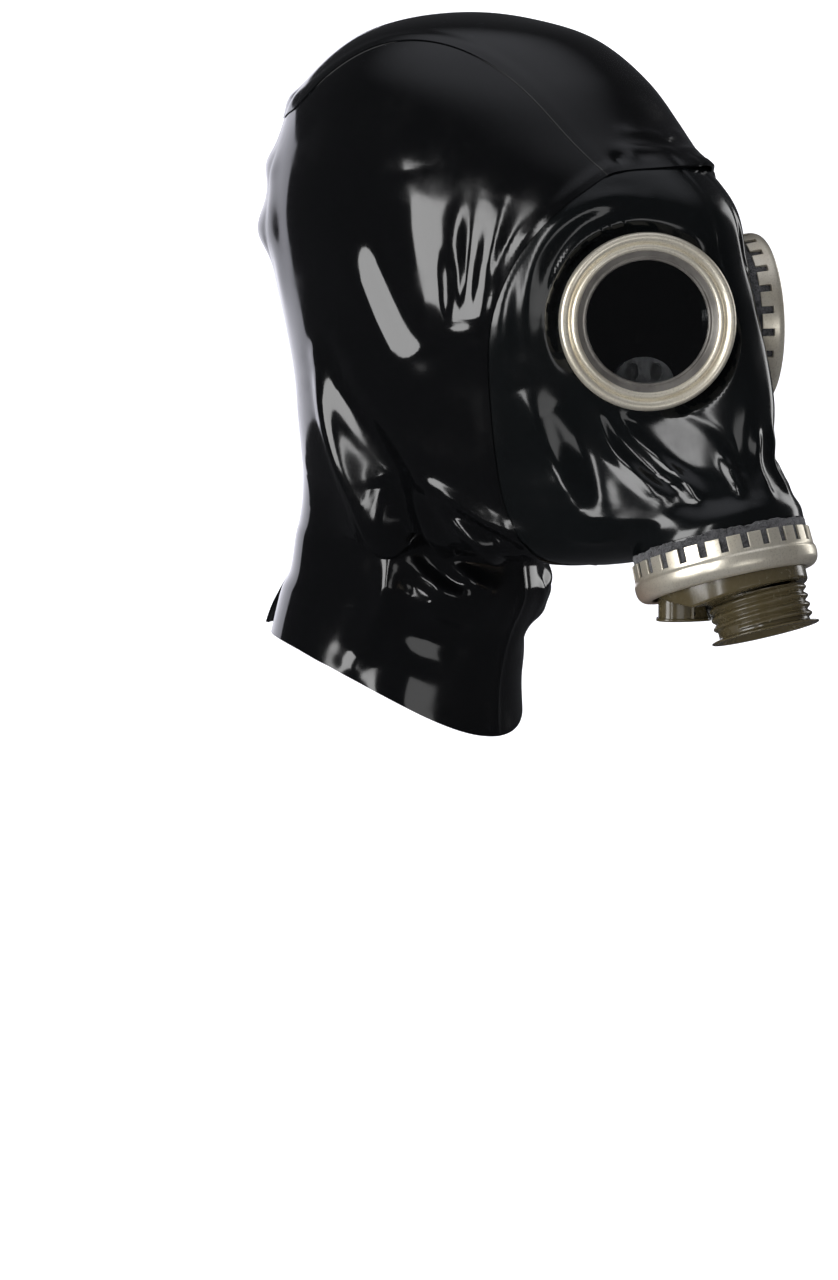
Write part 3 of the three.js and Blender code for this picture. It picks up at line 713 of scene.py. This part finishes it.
def cloth_tape(name):
    made, g, shader, place = material(name)
    fibres = g.noise(place, 1300.0, 4, 0.7)
    strands = g.noise(place, 420.0, 3, 0.6)
    tone = g.ramp(g.math("ADD", g.math("MULTIPLY", fibres, 0.6), g.math("MULTIPLY", strands, 0.4)), 0.38, 0.66)
    g.join(g.blend(tone, (0.008, 0.008, 0.009), (0.07, 0.07, 0.074)), shader.inputs["Base Color"])
    shader.inputs["Roughness"].default_value = 0.85
    shader.inputs["Sheen Weight"].default_value = 0.25
    bump(g, shader, tone, 0.9, 0.35 * MM)
    return made


def olive(name):
    made, g, shader, place = material(name)
    wear = use_group(g, WORN, place, Blotch_Scale=120.0, Mark_Scale=700.0, Amount=0.5)
    tint = g.blend(wear["Blotch"], (0.05, 0.039, 0.018), (0.062, 0.05, 0.026))
    marked = g.math("MULTIPLY", wear["Marks"], 0.3)
    g.join(g.blend(marked, tint, (0.1, 0.085, 0.055)), shader.inputs["Base Color"])
    g.join(g.math("ADD", g.math("MULTIPLY", wear["Blotch"], 0.2), 0.2), shader.inputs["Roughness"])
    shader.inputs["Coat Weight"].default_value = 0.35
    shader.inputs["Coat Roughness"].default_value = 0.12
    bump(g, shader, wear["Height"], 0.2, 0.12 * MM)
    return made


def clear_glass(name):
    made, g, shader, place = material(name)
    shader.inputs["Base Color"].default_value = (0.93, 0.95, 0.95, 1)
    shader.inputs["Transmission Weight"].default_value = 1
    shader.inputs["IOR"].default_value = 1.5
    haze = g.ramp(g.noise(place, 90.0, 5, 0.65), 0.45, 0.8, 0.005, 0.06)
    g.join(haze, shader.inputs["Roughness"])
    return made


def dull_metal(name):
    made, g, shader, place = material(name)
    wear = use_group(g, WORN, place, Blotch_Scale=90.0, Mark_Scale=1800.0, Amount=0.8)
    g.join(g.blend(wear["Blotch"], (0.16, 0.15, 0.135), (0.09, 0.083, 0.075)), shader.inputs["Base Color"])
    g.join(g.math("ADD", g.math("MULTIPLY", wear["Marks"], 0.2), 0.38), shader.inputs["Roughness"])
    shader.inputs["Metallic"].default_value = 0.55
    bump(g, shader, wear["Height"], 0.2, 0.05 * MM)
    return made


LATEX = glossy_skin("latex", (0.0016, 0.0017, 0.0019), (0.03, 0.03, 0.031), 0.08, 0.24, 32.0, 0.02 * MM, 0.12)
FACE_RUBBER = glossy_skin("face rubber", (0.002, 0.0025, 0.0027), (0.03, 0.032, 0.032), 0.12, 0.22, 40.0,
                          0.02 * MM, 0.12)
DUCT_RUBBER = glossy_skin("duct rubber", (0.1, 0.1, 0.105), (0.16, 0.16, 0.16), 0.5, 0.65, 400.0, 0.1 * MM, 0.3)
PLATE = metal_plate("clamp plate")
TAPE = cloth_tape("cloth tape")
OLIVE = olive("olive paint")
GLASS = clear_glass("lens glass")
RETAINER = dull_metal("retainer metal")

# ---------------------------------------------------------------- hood panels
CROWN_ROWS, SIDE_ROWS, HOOD_COLS = 240, 380, 330
FACE_ROWS, FACE_COLS = 190, 210
LAP_LOOPS = (0, 0.12 * MM, 1.2 * MM, 2.6 * MM)
BROW_PEAK = Vector((14, -106, -63)) * MM


def lap(inward):
    """Height of a lapped edge: steep at the cut, flat on the lap, easing down beyond it."""
    rise = smooth(-0.02 * MM, 0.12 * MM, inward)
    ease = 1 - smooth(2.6 * MM, LAP_BLEND, inward)
    return LAP_LIFT * rise * ease


def hood_inward(points):
    return -in_face(points)


def brow_lift(points):
    """The crown panel stands off the rubber in a small peak past the middle of the brow."""
    away = np.linalg.norm((points - np.array(BROW_PEAK)) / (17 * MM, 14 * MM, 10 * MM), axis=1)
    return 2.8 * MM * np.exp(-away ** 2) * (1 - smooth(0, 14 * MM, hood_inward(points)))


def make_crown():
    bm = sheet(CROWN_ROWS, HOOD_COLS, (0, 0.62), math.pi)
    keep_where(bm, lambda p: in_crown(p) + 4 * MM, lambda p: hood_inward(p) + 4 * MM)
    cut_along(bm, hood_inward, LAP_LOOPS)
    cut_along(bm, in_crown, LAP_LOOPS)
    keep_where(bm, in_crown, hood_inward)
    raise_sheet(bm, lambda p: lap(in_crown(p)) + lap(hood_inward(p)) + brow_lift(p), LATEX_WALL, merge=True)
    return finish_mesh(bm, "crown_sheet", LATEX, ["crown_panel"])


def make_sides():
    for side, name in ((-1, "side_sheet_right"), (1, "side_sheet_left")):
        bm = sheet(SIDE_ROWS, HOOD_COLS, (0, 1), math.pi)
        bmesh.ops.delete(bm, geom=[v for v in bm.verts if v.co.x * side < -0.001], context="VERTS")
        under_crown = lambda p: LAP_UNDER - in_crown(p)
        keep_where(bm, lambda p: under_crown(p) + 4 * MM, lambda p: hood_inward(p) + 4 * MM)
        cut_along(bm, hood_inward, LAP_LOOPS)
        cut_along(bm, under_crown)
        keep_where(bm, under_crown, hood_inward)
        raise_sheet(bm, lambda p: lap(hood_inward(p)) + seam_ridge(p), LATEX_WALL)
        finish_mesh(bm, name, LATEX, [name.replace("sheet", "panel")])


def seam_ridge(points):
    """The narrow raised joint down the front of the neck."""
    front = smooth(-0.195, -0.215, points[:, 2]) * (points[:, 1] < 20 * MM)
    return 0.5 * MM * np.exp(-(points[:, 0] / (1.3 * MM)) ** 2) * front


def collar_ring(radius, back, matrix):
    inner, front = radius - COLLAR_WALL, -3 * MM
    ring = rounded(((radius, back, 0), (radius, front, 1), (inner, front, 1), (inner, back, 0)), 0.5 * MM)
    return spun(ring, 96, matrix)


def make_face():
    bm = sheet(FACE_ROWS, FACE_COLS, (0.17, 0.78), math.radians(76))
    under_hood = lambda p: in_face(p) + LAP_UNDER
    keep_where(bm, lambda p: under_hood(p) + 4 * MM)
    cut_along(bm, under_hood)
    cut_along(bm, clear_of_eyes)
    cut_along(bm, clear_of_valve)
    keep_where(bm, under_hood, clear_of_eyes, clear_of_valve)
    under = lambda p: -0.25 * MM * smooth(1.5 * MM, 0, in_face(p))
    raise_sheet(bm, under, FACE_WALL)
    for matrix in EYES.values():
        add_mesh(bm, collar_ring(EYE_COLLAR, SOCKET - FACE_WALL, matrix))
    add_mesh(bm, collar_ring(VALVE_COLLAR, THROAT - 5 * MM, VALVE))
    return finish_mesh(bm, "face_rubber_sheet", FACE_RUBBER, ["face_piece"])


def add_mesh(bm, other):
    mesh = bpy.data.meshes.new("part")
    other.to_mesh(mesh)
    other.free()
    bm.from_mesh(mesh)
    bpy.data.meshes.remove(mesh)


def make_band():
    bm = bmesh.new()
    bmesh.ops.create_grid(bm, x_segments=24, y_segments=260, size=1)
    verts = list(bm.verts)
    across = np.array([v.co.x for v in verts]) / 2
    down = np.array([v.co.y for v in verts]) / 2 + 0.5
    place = BAND_TOP + (1 - BAND_TOP) * down
    half = section(place)["half"] * HEAD_BREADTH
    angle = math.pi - np.arcsin(across * BAND_WIDTH / half)
    out = normals(plain, place, angle)
    tab = TAB_LIFT * smooth(TAB_START, 1, down) ** 1.5
    lift = BAND_SEAT + BAND_WALL + tab - 0.5 * MM * smooth(0.38, 0.5, np.abs(across))
    base = plain(place, angle)
    for height, rise in PUCKERS:
        lift = lift + rise * MM * np.exp(-((base[:, 2] - height * MM) / PUCKER_WIDTH) ** 2)
    points = base + out * lift[:, None]
    for vert, point in zip(verts, points):
        vert.co = point
    bmesh.ops.recalc_face_normals(bm, faces=bm.faces[:])
    if sum(f.normal.y for f in bm.faces) < 0:
        bmesh.ops.reverse_faces(bm, faces=bm.faces[:])
    made = bmesh.ops.extrude_face_region(bm, geom=bm.faces[:], use_keep_orig=True)
    inner = [e for e in made["geom"] if isinstance(e, bmesh.types.BMVert)]
    moves = [v.normal.copy() for v in inner]
    for vert, move in zip(inner, moves):
        vert.co -= move * (BAND_WALL - 0.2 * MM)
    bmesh.ops.recalc_face_normals(bm, faces=bm.faces[:])
    return finish_mesh(bm, "band_sheet", LATEX, ["rear_band"])


# ---------------------------------------------------------------- turned fittings
def slot_cutters(count, width, length, depth, radius, matrix):
    """A comb of box-shaped slots in the edge of a clamp."""
    bm = bmesh.new()
    reach = 6 * MM
    for index in range(count):
        turn = Matrix.Rotation(TURN * (index + 0.5) / count, 4, "Z")
        end = -depth + length - width / 2
        low = end - (-depth - reach)
        body = Matrix.Translation((radius, 0, end - low / 2)) @ Matrix.Diagonal((8 * MM, width, low, 1))
        bmesh.ops.create_cube(bm, size=1, matrix=matrix @ turn @ body)
    return bm


def make_clamp(name, node, matrix, profile, steps, slots):
    piece = finish_mesh(spun(profile, steps, matrix), name, PLATE, [node])
    carved(piece, slots)
    bevel = piece.modifiers.new("soft edges", "BEVEL")
    bevel.width = 0.18 * MM
    bevel.segments = 2
    bevel.limit_method = "ANGLE"
    bevel.angle_limit = math.radians(50)
    return piece


def eye_profile():
    r = EYE_RADIUS
    outer = (
        (r - 1.1 * MM, -EYE_DEPTH, 0), (r - 0.35 * MM, -5.5 * MM, 1), (r, -2.6 * MM, 2),
        (r - 0.7 * MM, -0.3 * MM, 3), (r - 2.2 * MM, 0, 2), (r - 3.6 * MM, -0.55 * MM, 2),
        (r - 4.5 * MM, -1.8 * MM, 1),
        (r - 5.0 * MM, -0.5 * MM, 1.5), (r - 6.2 * MM, -0.1 * MM, 2), (r - 7.4 * MM, -0.7 * MM, 1.5),
        (r - 7.5 * MM, -1.9 * MM, 1))
    inner = ((r - 3 * MM, -2.2 * MM, 1), (r - 1.9 * MM, -3.2 * MM, 1), (r - 1.9 * MM, -EYE_DEPTH, 0))
    return rounded(outer + inner, 0.5 * MM)


def valve_profile():
    r = VALVE_RADIUS
    outer = (
        (r - 1.0 * MM, -VALVE_DEPTH, 0), (r - 0.75 * MM, -8.2 * MM, 1), (r - 0.1 * MM, -7.2 * MM, 1),
        (r, -4.6 * MM, 2), (r - 0.5 * MM, -2.2 * MM, 2), (r - 2.2 * MM, -0.3 * MM, 3), (r - 4.2 * MM, 0, 1),
        (HOUSING_RADIUS + 0.3 * MM, -0.1 * MM, 1), (HOUSING_RADIUS + 0.3 * MM, -1.0 * MM, 1))
    inner = ((r - 3 * MM, -1.6 * MM, 1), (r - 1.9 * MM, -4 * MM, 1), (r - 1.9 * MM, -VALVE_DEPTH, 0))
    return rounded(outer + inner, 0.6 * MM)


def make_tape(name, node, matrix, radius, low, high):
    """Wound cloth tape with a frayed, slightly uneven edge."""
    inner = radius - TAPE_WALL
    profile = rounded(((radius, low, 1), (radius, high, 1), (inner, high, 0), (inner, low, 0)), 0.5 * MM, 3)
    bm = spun(profile, 240, Matrix.Identity(4))
    for vert in bm.verts:
        turn = math.atan2(vert.co.y, vert.co.x)
        edge = max(0.0, 1 - (vert.co.z - low) / (2.5 * MM))
        fray = 0.22 * math.sin(9 * turn) + 0.16 * math.sin(23 * turn + 1) + 0.12 * math.sin(61 * turn + 2)
        vert.co.z += fray * MM * edge * 1.6
        swell = 1 + 0.004 * math.sin(7 * turn + 2) + 0.003 * math.sin(31 * turn)
        if math.hypot(vert.co.x, vert.co.y) > radius - TAPE_WALL / 2:
            vert.co.x *= swell
            vert.co.y *= swell
    bm.transform(matrix)
    return finish_mesh(bm, name, TAPE, [node])


def make_eyepiece(side, matrix):
    slots = slot_cutters(EYE_SLOTS, 3.0 * MM, 6.2 * MM, EYE_DEPTH, EYE_RADIUS, matrix)
    make_clamp(f"eye_ring_{side}", f"eye_clamp_{side}", matrix, eye_profile(), 192, slots)
    tape_radius = EYE_RADIUS - 2.1 * MM
    make_tape(f"eye_binding_{side}", f"eye_tape_{side}", matrix, tape_radius, SOCKET + 0.4 * MM, -2.8 * MM)
    front = -1.2 * MM
    cup = EYE_COLLAR - 2.4 * MM
    step = rounded((
        (28 * MM, front, 1), (cup, front, 1), (cup, -8 * MM, 0), (LENS_RADIUS + 0.2 * MM, -8 * MM, 0),
        (LENS_RADIUS + 0.2 * MM, -4.2 * MM, 0), (LENS_WINDOW - 0.6 * MM, -4.2 * MM, 1),
        (LENS_WINDOW - 0.5 * MM, -3.3 * MM, 1.5), (LENS_WINDOW + 0.2 * MM, -2.7 * MM, 1.5),
        (LENS_WINDOW + 0.9 * MM, -3.2 * MM, 1), (26.8 * MM, -2.2 * MM, 1)), 0.4 * MM)
    seat = spun(step, 144, matrix)
    finish_mesh(seat, f"lens_seat_{side}", RETAINER, [f"lens_retainer_{side}"])
    flat = LENS_RADIUS - 0.8 * MM
    outer, inner = -4.4 * MM, -6.8 * MM
    pane = rounded(((0, outer, 0), (flat, outer, 0), (LENS_RADIUS, outer, 1),
                    (LENS_RADIUS, inner, 1), (flat, inner, 0), (0, inner, 0)), 0.4 * MM)
    finish_mesh(spun(pane, 96, matrix), f"pane_{side}", GLASS, [f"lens_{side}"])


def arch(half, top, bottom, steps=14):
    rise = 0.8 * half
    curve = [(half * math.cos(math.pi * t / steps), top - rise + rise * math.sin(math.pi * t / steps))
             for t in range(steps + 1)]
    return [(-half, bottom), (half, bottom), *curve]


def extruded(points, low, high, matrix):
    bm = bmesh.new()
    face = bm.faces.new([bm.verts.new((x, y, low)) for x, y in points])
    made = bmesh.ops.extrude_face_region(bm, geom=[face])
    for vert in (e for e in made["geom"] if isinstance(e, bmesh.types.BMVert)):
        vert.co.z = high
    bmesh.ops.holes_fill(bm, edges=[e for e in bm.edges if e.is_boundary])
    bmesh.ops.recalc_face_normals(bm, faces=bm.faces[:])
    bm.transform(matrix)
    return bm


def make_duct(side, matrix):
    half = DUCT_WIDTH / 2
    back = SOCKET - 2 * MM - 0.6 * MM - DUCT_DEPTH
    piece = finish_mesh(extruded(arch(half, -DUCT_TOP, -DUCT_BOTTOM), back, back + DUCT_DEPTH, matrix),
                        f"duct_{side}", DUCT_RUBBER, [f"air_duct_{side}"])
    wall = 1.5 * MM
    inside = arch(half - wall, -DUCT_TOP - wall, -DUCT_BOTTOM - wall)
    hollow = extruded(inside, back + wall, back + DUCT_DEPTH - wall, matrix)
    carved(piece, hollow)
    holes = bmesh.new()
    for way in (-1, 1):
        middle = (way * DUCT_WIDTH / 5, -DUCT_TOP - DUCT_WIDTH / 4, back + DUCT_DEPTH)
        shape = matrix @ Matrix.Translation(middle) @ Matrix.Diagonal((0.9, 1.25, 1, 1))
        bmesh.ops.create_cone(holes, cap_ends=True, segments=28, radius1=DUCT_HOLE, radius2=DUCT_HOLE,
                              depth=DUCT_DEPTH, matrix=shape)
    carved(piece, holes)
    bevel = piece.modifiers.new("soft edges", "BEVEL")
    bevel.width = 0.7 * MM
    bevel.segments = 3
    bevel.limit_method = "ANGLE"
    bevel.angle_limit = math.radians(50)


# ---------------------------------------------------------------- valve box
def slope_cut(bm, tilt, drop):
    """Cuts away what lies below a tilted plane and closes the cut."""
    normal = Vector((0, -math.sin(tilt), math.cos(tilt)))
    bmesh.ops.bisect_plane(bm, geom=bm.verts[:] + bm.edges[:] + bm.faces[:], dist=1e-7,
                           plane_co=(0, 0, drop), plane_no=normal, clear_outer=True)
    bmesh.ops.holes_fill(bm, edges=[e for e in bm.edges if e.is_boundary])


def tub(radius, top, drop):
    bm = bmesh.new()
    bottom = 14 * MM
    place = Matrix.Translation((0, 0, (top + bottom) / 2))
    bmesh.ops.create_cone(bm, cap_ends=True, segments=128, radius1=radius, radius2=radius, depth=bottom - top,
                          matrix=place)
    slope_cut(bm, -FRONT_SLOPE, drop)
    slope_cut(bm, REAR_SLOPE, drop)
    return bm


def make_valve():
    slots = slot_cutters(VALVE_SLOTS, 3.0 * MM, 7.4 * MM, VALVE_DEPTH, VALVE_RADIUS, VALVE)
    make_clamp("valve_ring", "valve_clamp", VALVE, valve_profile(), 208, slots)
    make_tape("valve_binding", "valve_tape", VALVE, VALVE_RADIUS - 2.1 * MM, THROAT + 0.3 * MM, -4 * MM)

    top = THROAT - 5 * MM
    box = tub(HOUSING_RADIUS, top, HOUSING_DEPTH)
    edges = [e for e in box.edges if len(e.link_faces) == 2 and e.calc_face_angle() > math.radians(15)]
    bmesh.ops.bevel(box, geom=edges, offset=1.1 * MM, affect="EDGES", segments=4, profile=0.5, material=-1)
    box.transform(VALVE)
    piece = finish_mesh(box, "valve_box", OLIVE, ["valve_housing"])
    hollow = tub(HOUSING_RADIUS - HOUSING_WALL, top - 1 * MM, HOUSING_DEPTH - HOUSING_WALL)
    hollow.transform(VALVE)
    carved(piece, hollow)
    centre = VALVE @ Matrix.Translation((0, CONNECTOR_FORWARD, 0))
    bore = bmesh.new()
    place = centre @ Matrix.Translation((0, 0, 30 * MM))
    bmesh.ops.create_cone(bore, cap_ends=True, segments=96, radius1=BORE_RADIUS, radius2=BORE_RADIUS,
                          depth=60 * MM, matrix=place)
    carved(piece, bore)
    make_connector(centre)
    make_cap()


def make_connector(centre):
    """A turned tube whose outside is then drawn into a helical round thread."""
    end = HOUSING_DEPTH + CONNECTOR_LENGTH
    root = THREAD_RADIUS - THREAD_DEPTH
    start = HOUSING_DEPTH - 1.2 * MM
    thread_end = end - CONNECTOR_NECK
    steps = 90
    outside = [(root, start + (thread_end - start) * k / steps) for k in range(steps + 1)]
    lip = CONNECTOR_LIP
    flare = rounded((
        (root, thread_end + 0.6 * MM, 1), (root + 0.1 * MM, end - 1.5 * MM, 2),
        (lip - 0.2 * MM, end - 0.9 * MM, 1.4), (lip, end - 0.3 * MM, 1), (lip - 0.6 * MM, end, 1),
        (lip - 2.4 * MM, end, 1),
        (BORE_RADIUS, end - CONNECTOR_NECK, 1), (BORE_RADIUS, start, 0)), 0.6 * MM)
    bm = spun(outside + flare, 160, Matrix.Identity(4))
    first = thread_end - THREAD_TURNS * THREAD_PITCH
    for vert in bm.verts:
        radius = math.hypot(vert.co.x, vert.co.y)
        if abs(radius - root) > 0.02 * MM or vert.co.z > thread_end + 0.01 * MM:
            continue
        turn = math.atan2(vert.co.y, vert.co.x) / TURN
        phase = (vert.co.z - first) / THREAD_PITCH - turn
        ends = float(smooth(-0.4, 0.35, phase) * (1 - smooth(THREAD_TURNS - 0.35, THREAD_TURNS + 0.1, phase)))
        crest = (0.5 - 0.5 * math.cos(TURN * phase)) ** 0.75 * ends
        scale = (root + THREAD_DEPTH * crest) / radius
        vert.co.x *= scale
        vert.co.y *= scale
    bm.transform(centre)
    piece = finish_mesh(bm, "inlet_tube", OLIVE, ["inlet_connector"], sharp=60)
    return piece


def oval(half_wide, half_deep, low, high, segments=96):
    bm = bmesh.new()
    place = Matrix.Translation((0, -CAP_FORWARD, -CAP_DROP + (low + high) / 2)) @ Matrix.Diagonal(
        (half_wide, half_deep, 1, 1))
    bmesh.ops.create_cone(bm, cap_ends=True, segments=segments, radius1=1, radius2=1, depth=high - low,
                          matrix=place)
    return bm


def make_cap():
    wide, deep = CAP_WIDTH / 2, CAP_DEPTH / 2
    body = oval(wide - 0.9 * MM, deep - 0.9 * MM, 0.8 * MM, 16 * MM)
    flange = oval(wide, deep, 0, 1.3 * MM)
    bmesh.ops.bevel(flange, geom=[e for e in flange.edges if e.calc_face_angle(0) > 1], offset=0.4 * MM,
                    affect="EDGES", segments=3, profile=0.5, material=-1)
    rib = bmesh.new()
    place = Matrix.Translation((-17.5 * MM, -CAP_FORWARD - 9 * MM, -CAP_DROP + 4 * MM))
    place = place @ Matrix.Rotation(math.radians(-48), 4, "Z") @ Matrix.Diagonal((1 * MM, 3 * MM, 5 * MM, 1))
    bmesh.ops.create_cube(rib, size=1, matrix=place)
    piece = finish_mesh(body, "exhale_cover", OLIVE, ["exhale_cap"])
    carved(piece, flange, "UNION")
    carved(piece, rib, "UNION")
    upper = bmesh.new()
    away = Matrix.Translation((0, 0, HOUSING_DEPTH - 0.2 * MM)) @ Matrix.Rotation(REAR_SLOPE, 4, "X")
    bmesh.ops.create_cube(upper, size=1, matrix=VALVE @ away @ Matrix.Translation((0, 0, -40 * MM))
                          @ Matrix.Diagonal((200 * MM, 200 * MM, 80 * MM, 1)))
    carved(piece, upper)
    tube = bmesh.new()
    centre = VALVE @ Matrix.Translation((0, CONNECTOR_FORWARD, 0))
    clear = THREAD_RADIUS + 1.2 * MM
    bmesh.ops.create_cone(tube, cap_ends=True, segments=96, radius1=clear, radius2=clear, depth=120 * MM,
                          matrix=centre)
    carved(piece, tube)
    holes = bmesh.new()
    place = Matrix.Translation((-15.4 * MM, -CAP_FORWARD - 8.7 * MM, -CAP_DROP + 3.2 * MM))
    place = place @ Matrix.Rotation(math.radians(-30), 4, "Z") @ Matrix.Rotation(math.radians(90), 4, "X")
    bmesh.ops.create_cone(holes, cap_ends=True, segments=20, radius1=0.9 * MM, radius2=0.9 * MM, depth=5 * MM,
                          matrix=place)
    carved(piece, holes)


# ---------------------------------------------------------------- stage
PHOTO_HEIGHT = 1280
CAMERA_TURN = math.radians(53.97)
CAMERA_RISE = math.radians(4.38)
CAMERA_AWAY = 2.0
CAMERA_FOCUS = 4952.84
TARGET = Vector((-64.06, -20, -253.8)) * MM
FLOOR = -0.56
BACKGROUND = (0.93, 0.935, 0.95)


def lamp(name, place, aim, width, height, power, colour=(1, 1, 1)):
    light = bpy.data.lights.new(name, "AREA")
    light.shape = "RECTANGLE"
    light.size = width
    light.size_y = height
    light.energy = power
    light.color = colour
    holder = bpy.data.objects.new(name, light)
    holder.location = place
    holder.rotation_euler = (Vector(aim) - Vector(place)).to_track_quat("-Z", "Y").to_euler()
    holder.visible_camera = False
    bpy.context.scene.collection.objects.link(holder)
    return holder


def make_stage():
    """A round pale floor that curves up into a wall on all sides, dark only in glossy reflections."""
    radius, fillet, height = 3.0, 1.2, 3.2
    curve = [(radius - fillet + fillet * math.sin(t), FLOOR + fillet - fillet * math.cos(t))
             for t in np.linspace(0, math.pi / 2, 14)]
    bm = spun([(0, FLOOR), *curve, (radius, FLOOR + height)], 96, Matrix.Identity(4), closed=False)
    mesh = bpy.data.meshes.new("studio")
    bm.to_mesh(mesh)
    bm.free()
    for polygon in mesh.polygons:
        polygon.use_smooth = True
    studio = bpy.data.objects.new("studio", mesh)
    bpy.context.scene.collection.objects.link(studio)
    made = bpy.data.materials.new("studio")
    made.use_nodes = True
    g = Graph(made.node_tree)
    shader = made.node_tree.nodes["Principled BSDF"]
    shader.inputs["Base Color"].default_value = (0.8, 0.8, 0.82, 1)
    shader.inputs["Roughness"].default_value = 0.9
    shader.inputs["Specular IOR Level"].default_value = 0
    shader.inputs["Emission Color"].default_value = (*BACKGROUND, 1)
    dim = g.add("ShaderNodeEmission")
    dim.inputs["Color"].default_value = (0.9, 0.92, 1, 1)
    dim.inputs["Strength"].default_value = 0.05
    path = g.add("ShaderNodeLightPath")
    g.join(g.ramp(path.outputs["Is Camera Ray"], 0, 1, 0.3, 0.75), shader.inputs["Emission Strength"])
    mix = g.add("ShaderNodeMixShader")
    g.join(path.outputs["Is Glossy Ray"], mix.inputs[0])
    g.join(shader.outputs[0], mix.inputs[1])
    g.join(dim.outputs[0], mix.inputs[2])
    g.join(mix.outputs[0], made.node_tree.nodes["Material Output"].inputs["Surface"])
    mesh.materials.append(made)

    world_light = bpy.data.worlds.new("room")
    world_light.use_nodes = True
    room = Graph(world_light.node_tree)
    split = room.add("ShaderNodeSeparateXYZ")
    room.join(room.add("ShaderNodeTexCoord").outputs["Generated"], split.inputs[0])
    sky = world_light.node_tree.nodes["Background"].inputs
    sky["Color"].default_value = (0.9, 0.92, 1, 1)
    room.join(room.ramp(split.outputs["Z"], 0.66, 1.0, 0.05, 0.6), sky["Strength"])
    bpy.context.scene.world = world_light
    middle = (0, -0.02, -0.15)
    lamp("side softbox", (-1.68, 0.29, 0.05), middle, 0.9, 1.0, 20)
    lamp("side strip", (-1.58, -0.64, 0.1), middle, 0.18, 1.1, 4.4)
    lamp("far softbox", (1.5, -0.45, 0.22), middle, 0.4, 1.0, 3.4)
    lamp("front softbox", (-0.77, -1.51, -0.36), (0, 0, -0.22), 0.75, 0.36, 1.3)
    lamp("rear softbox", (0.85, 1.75, 0.0), middle, 1.7, 0.8, 6.7, (0.9, 0.9, 1))
    overhead = lamp("overhead", (0.1, 0.1, 1.7), middle, 1.4, 1.4, 6)
    overhead.visible_glossy = False


def make_camera():
    level = math.cos(CAMERA_RISE)
    back = Vector((-math.sin(CAMERA_TURN) * level, -math.cos(CAMERA_TURN) * level, math.sin(CAMERA_RISE)))
    camera = bpy.data.cameras.new("camera")
    camera.sensor_width = 36
    camera.lens = CAMERA_FOCUS / PHOTO_HEIGHT * camera.sensor_width
    camera.clip_start = 0.01
    camera.clip_end = 50
    holder = bpy.data.objects.new("camera", camera)
    holder.location = TARGET + back * CAMERA_AWAY
    holder.rotation_euler = (-back).to_track_quat("-Z", "Y").to_euler()
    bpy.context.scene.collection.objects.link(holder)
    bpy.context.scene.camera = holder


make_crown()
make_sides()
make_face()
make_band()
for side, matrix in EYES.items():
    make_eyepiece(side, matrix)
    make_duct(side, matrix)
make_valve()
make_stage()
make_camera()
bpy.context.scene.view_settings.view_transform = "Standard"
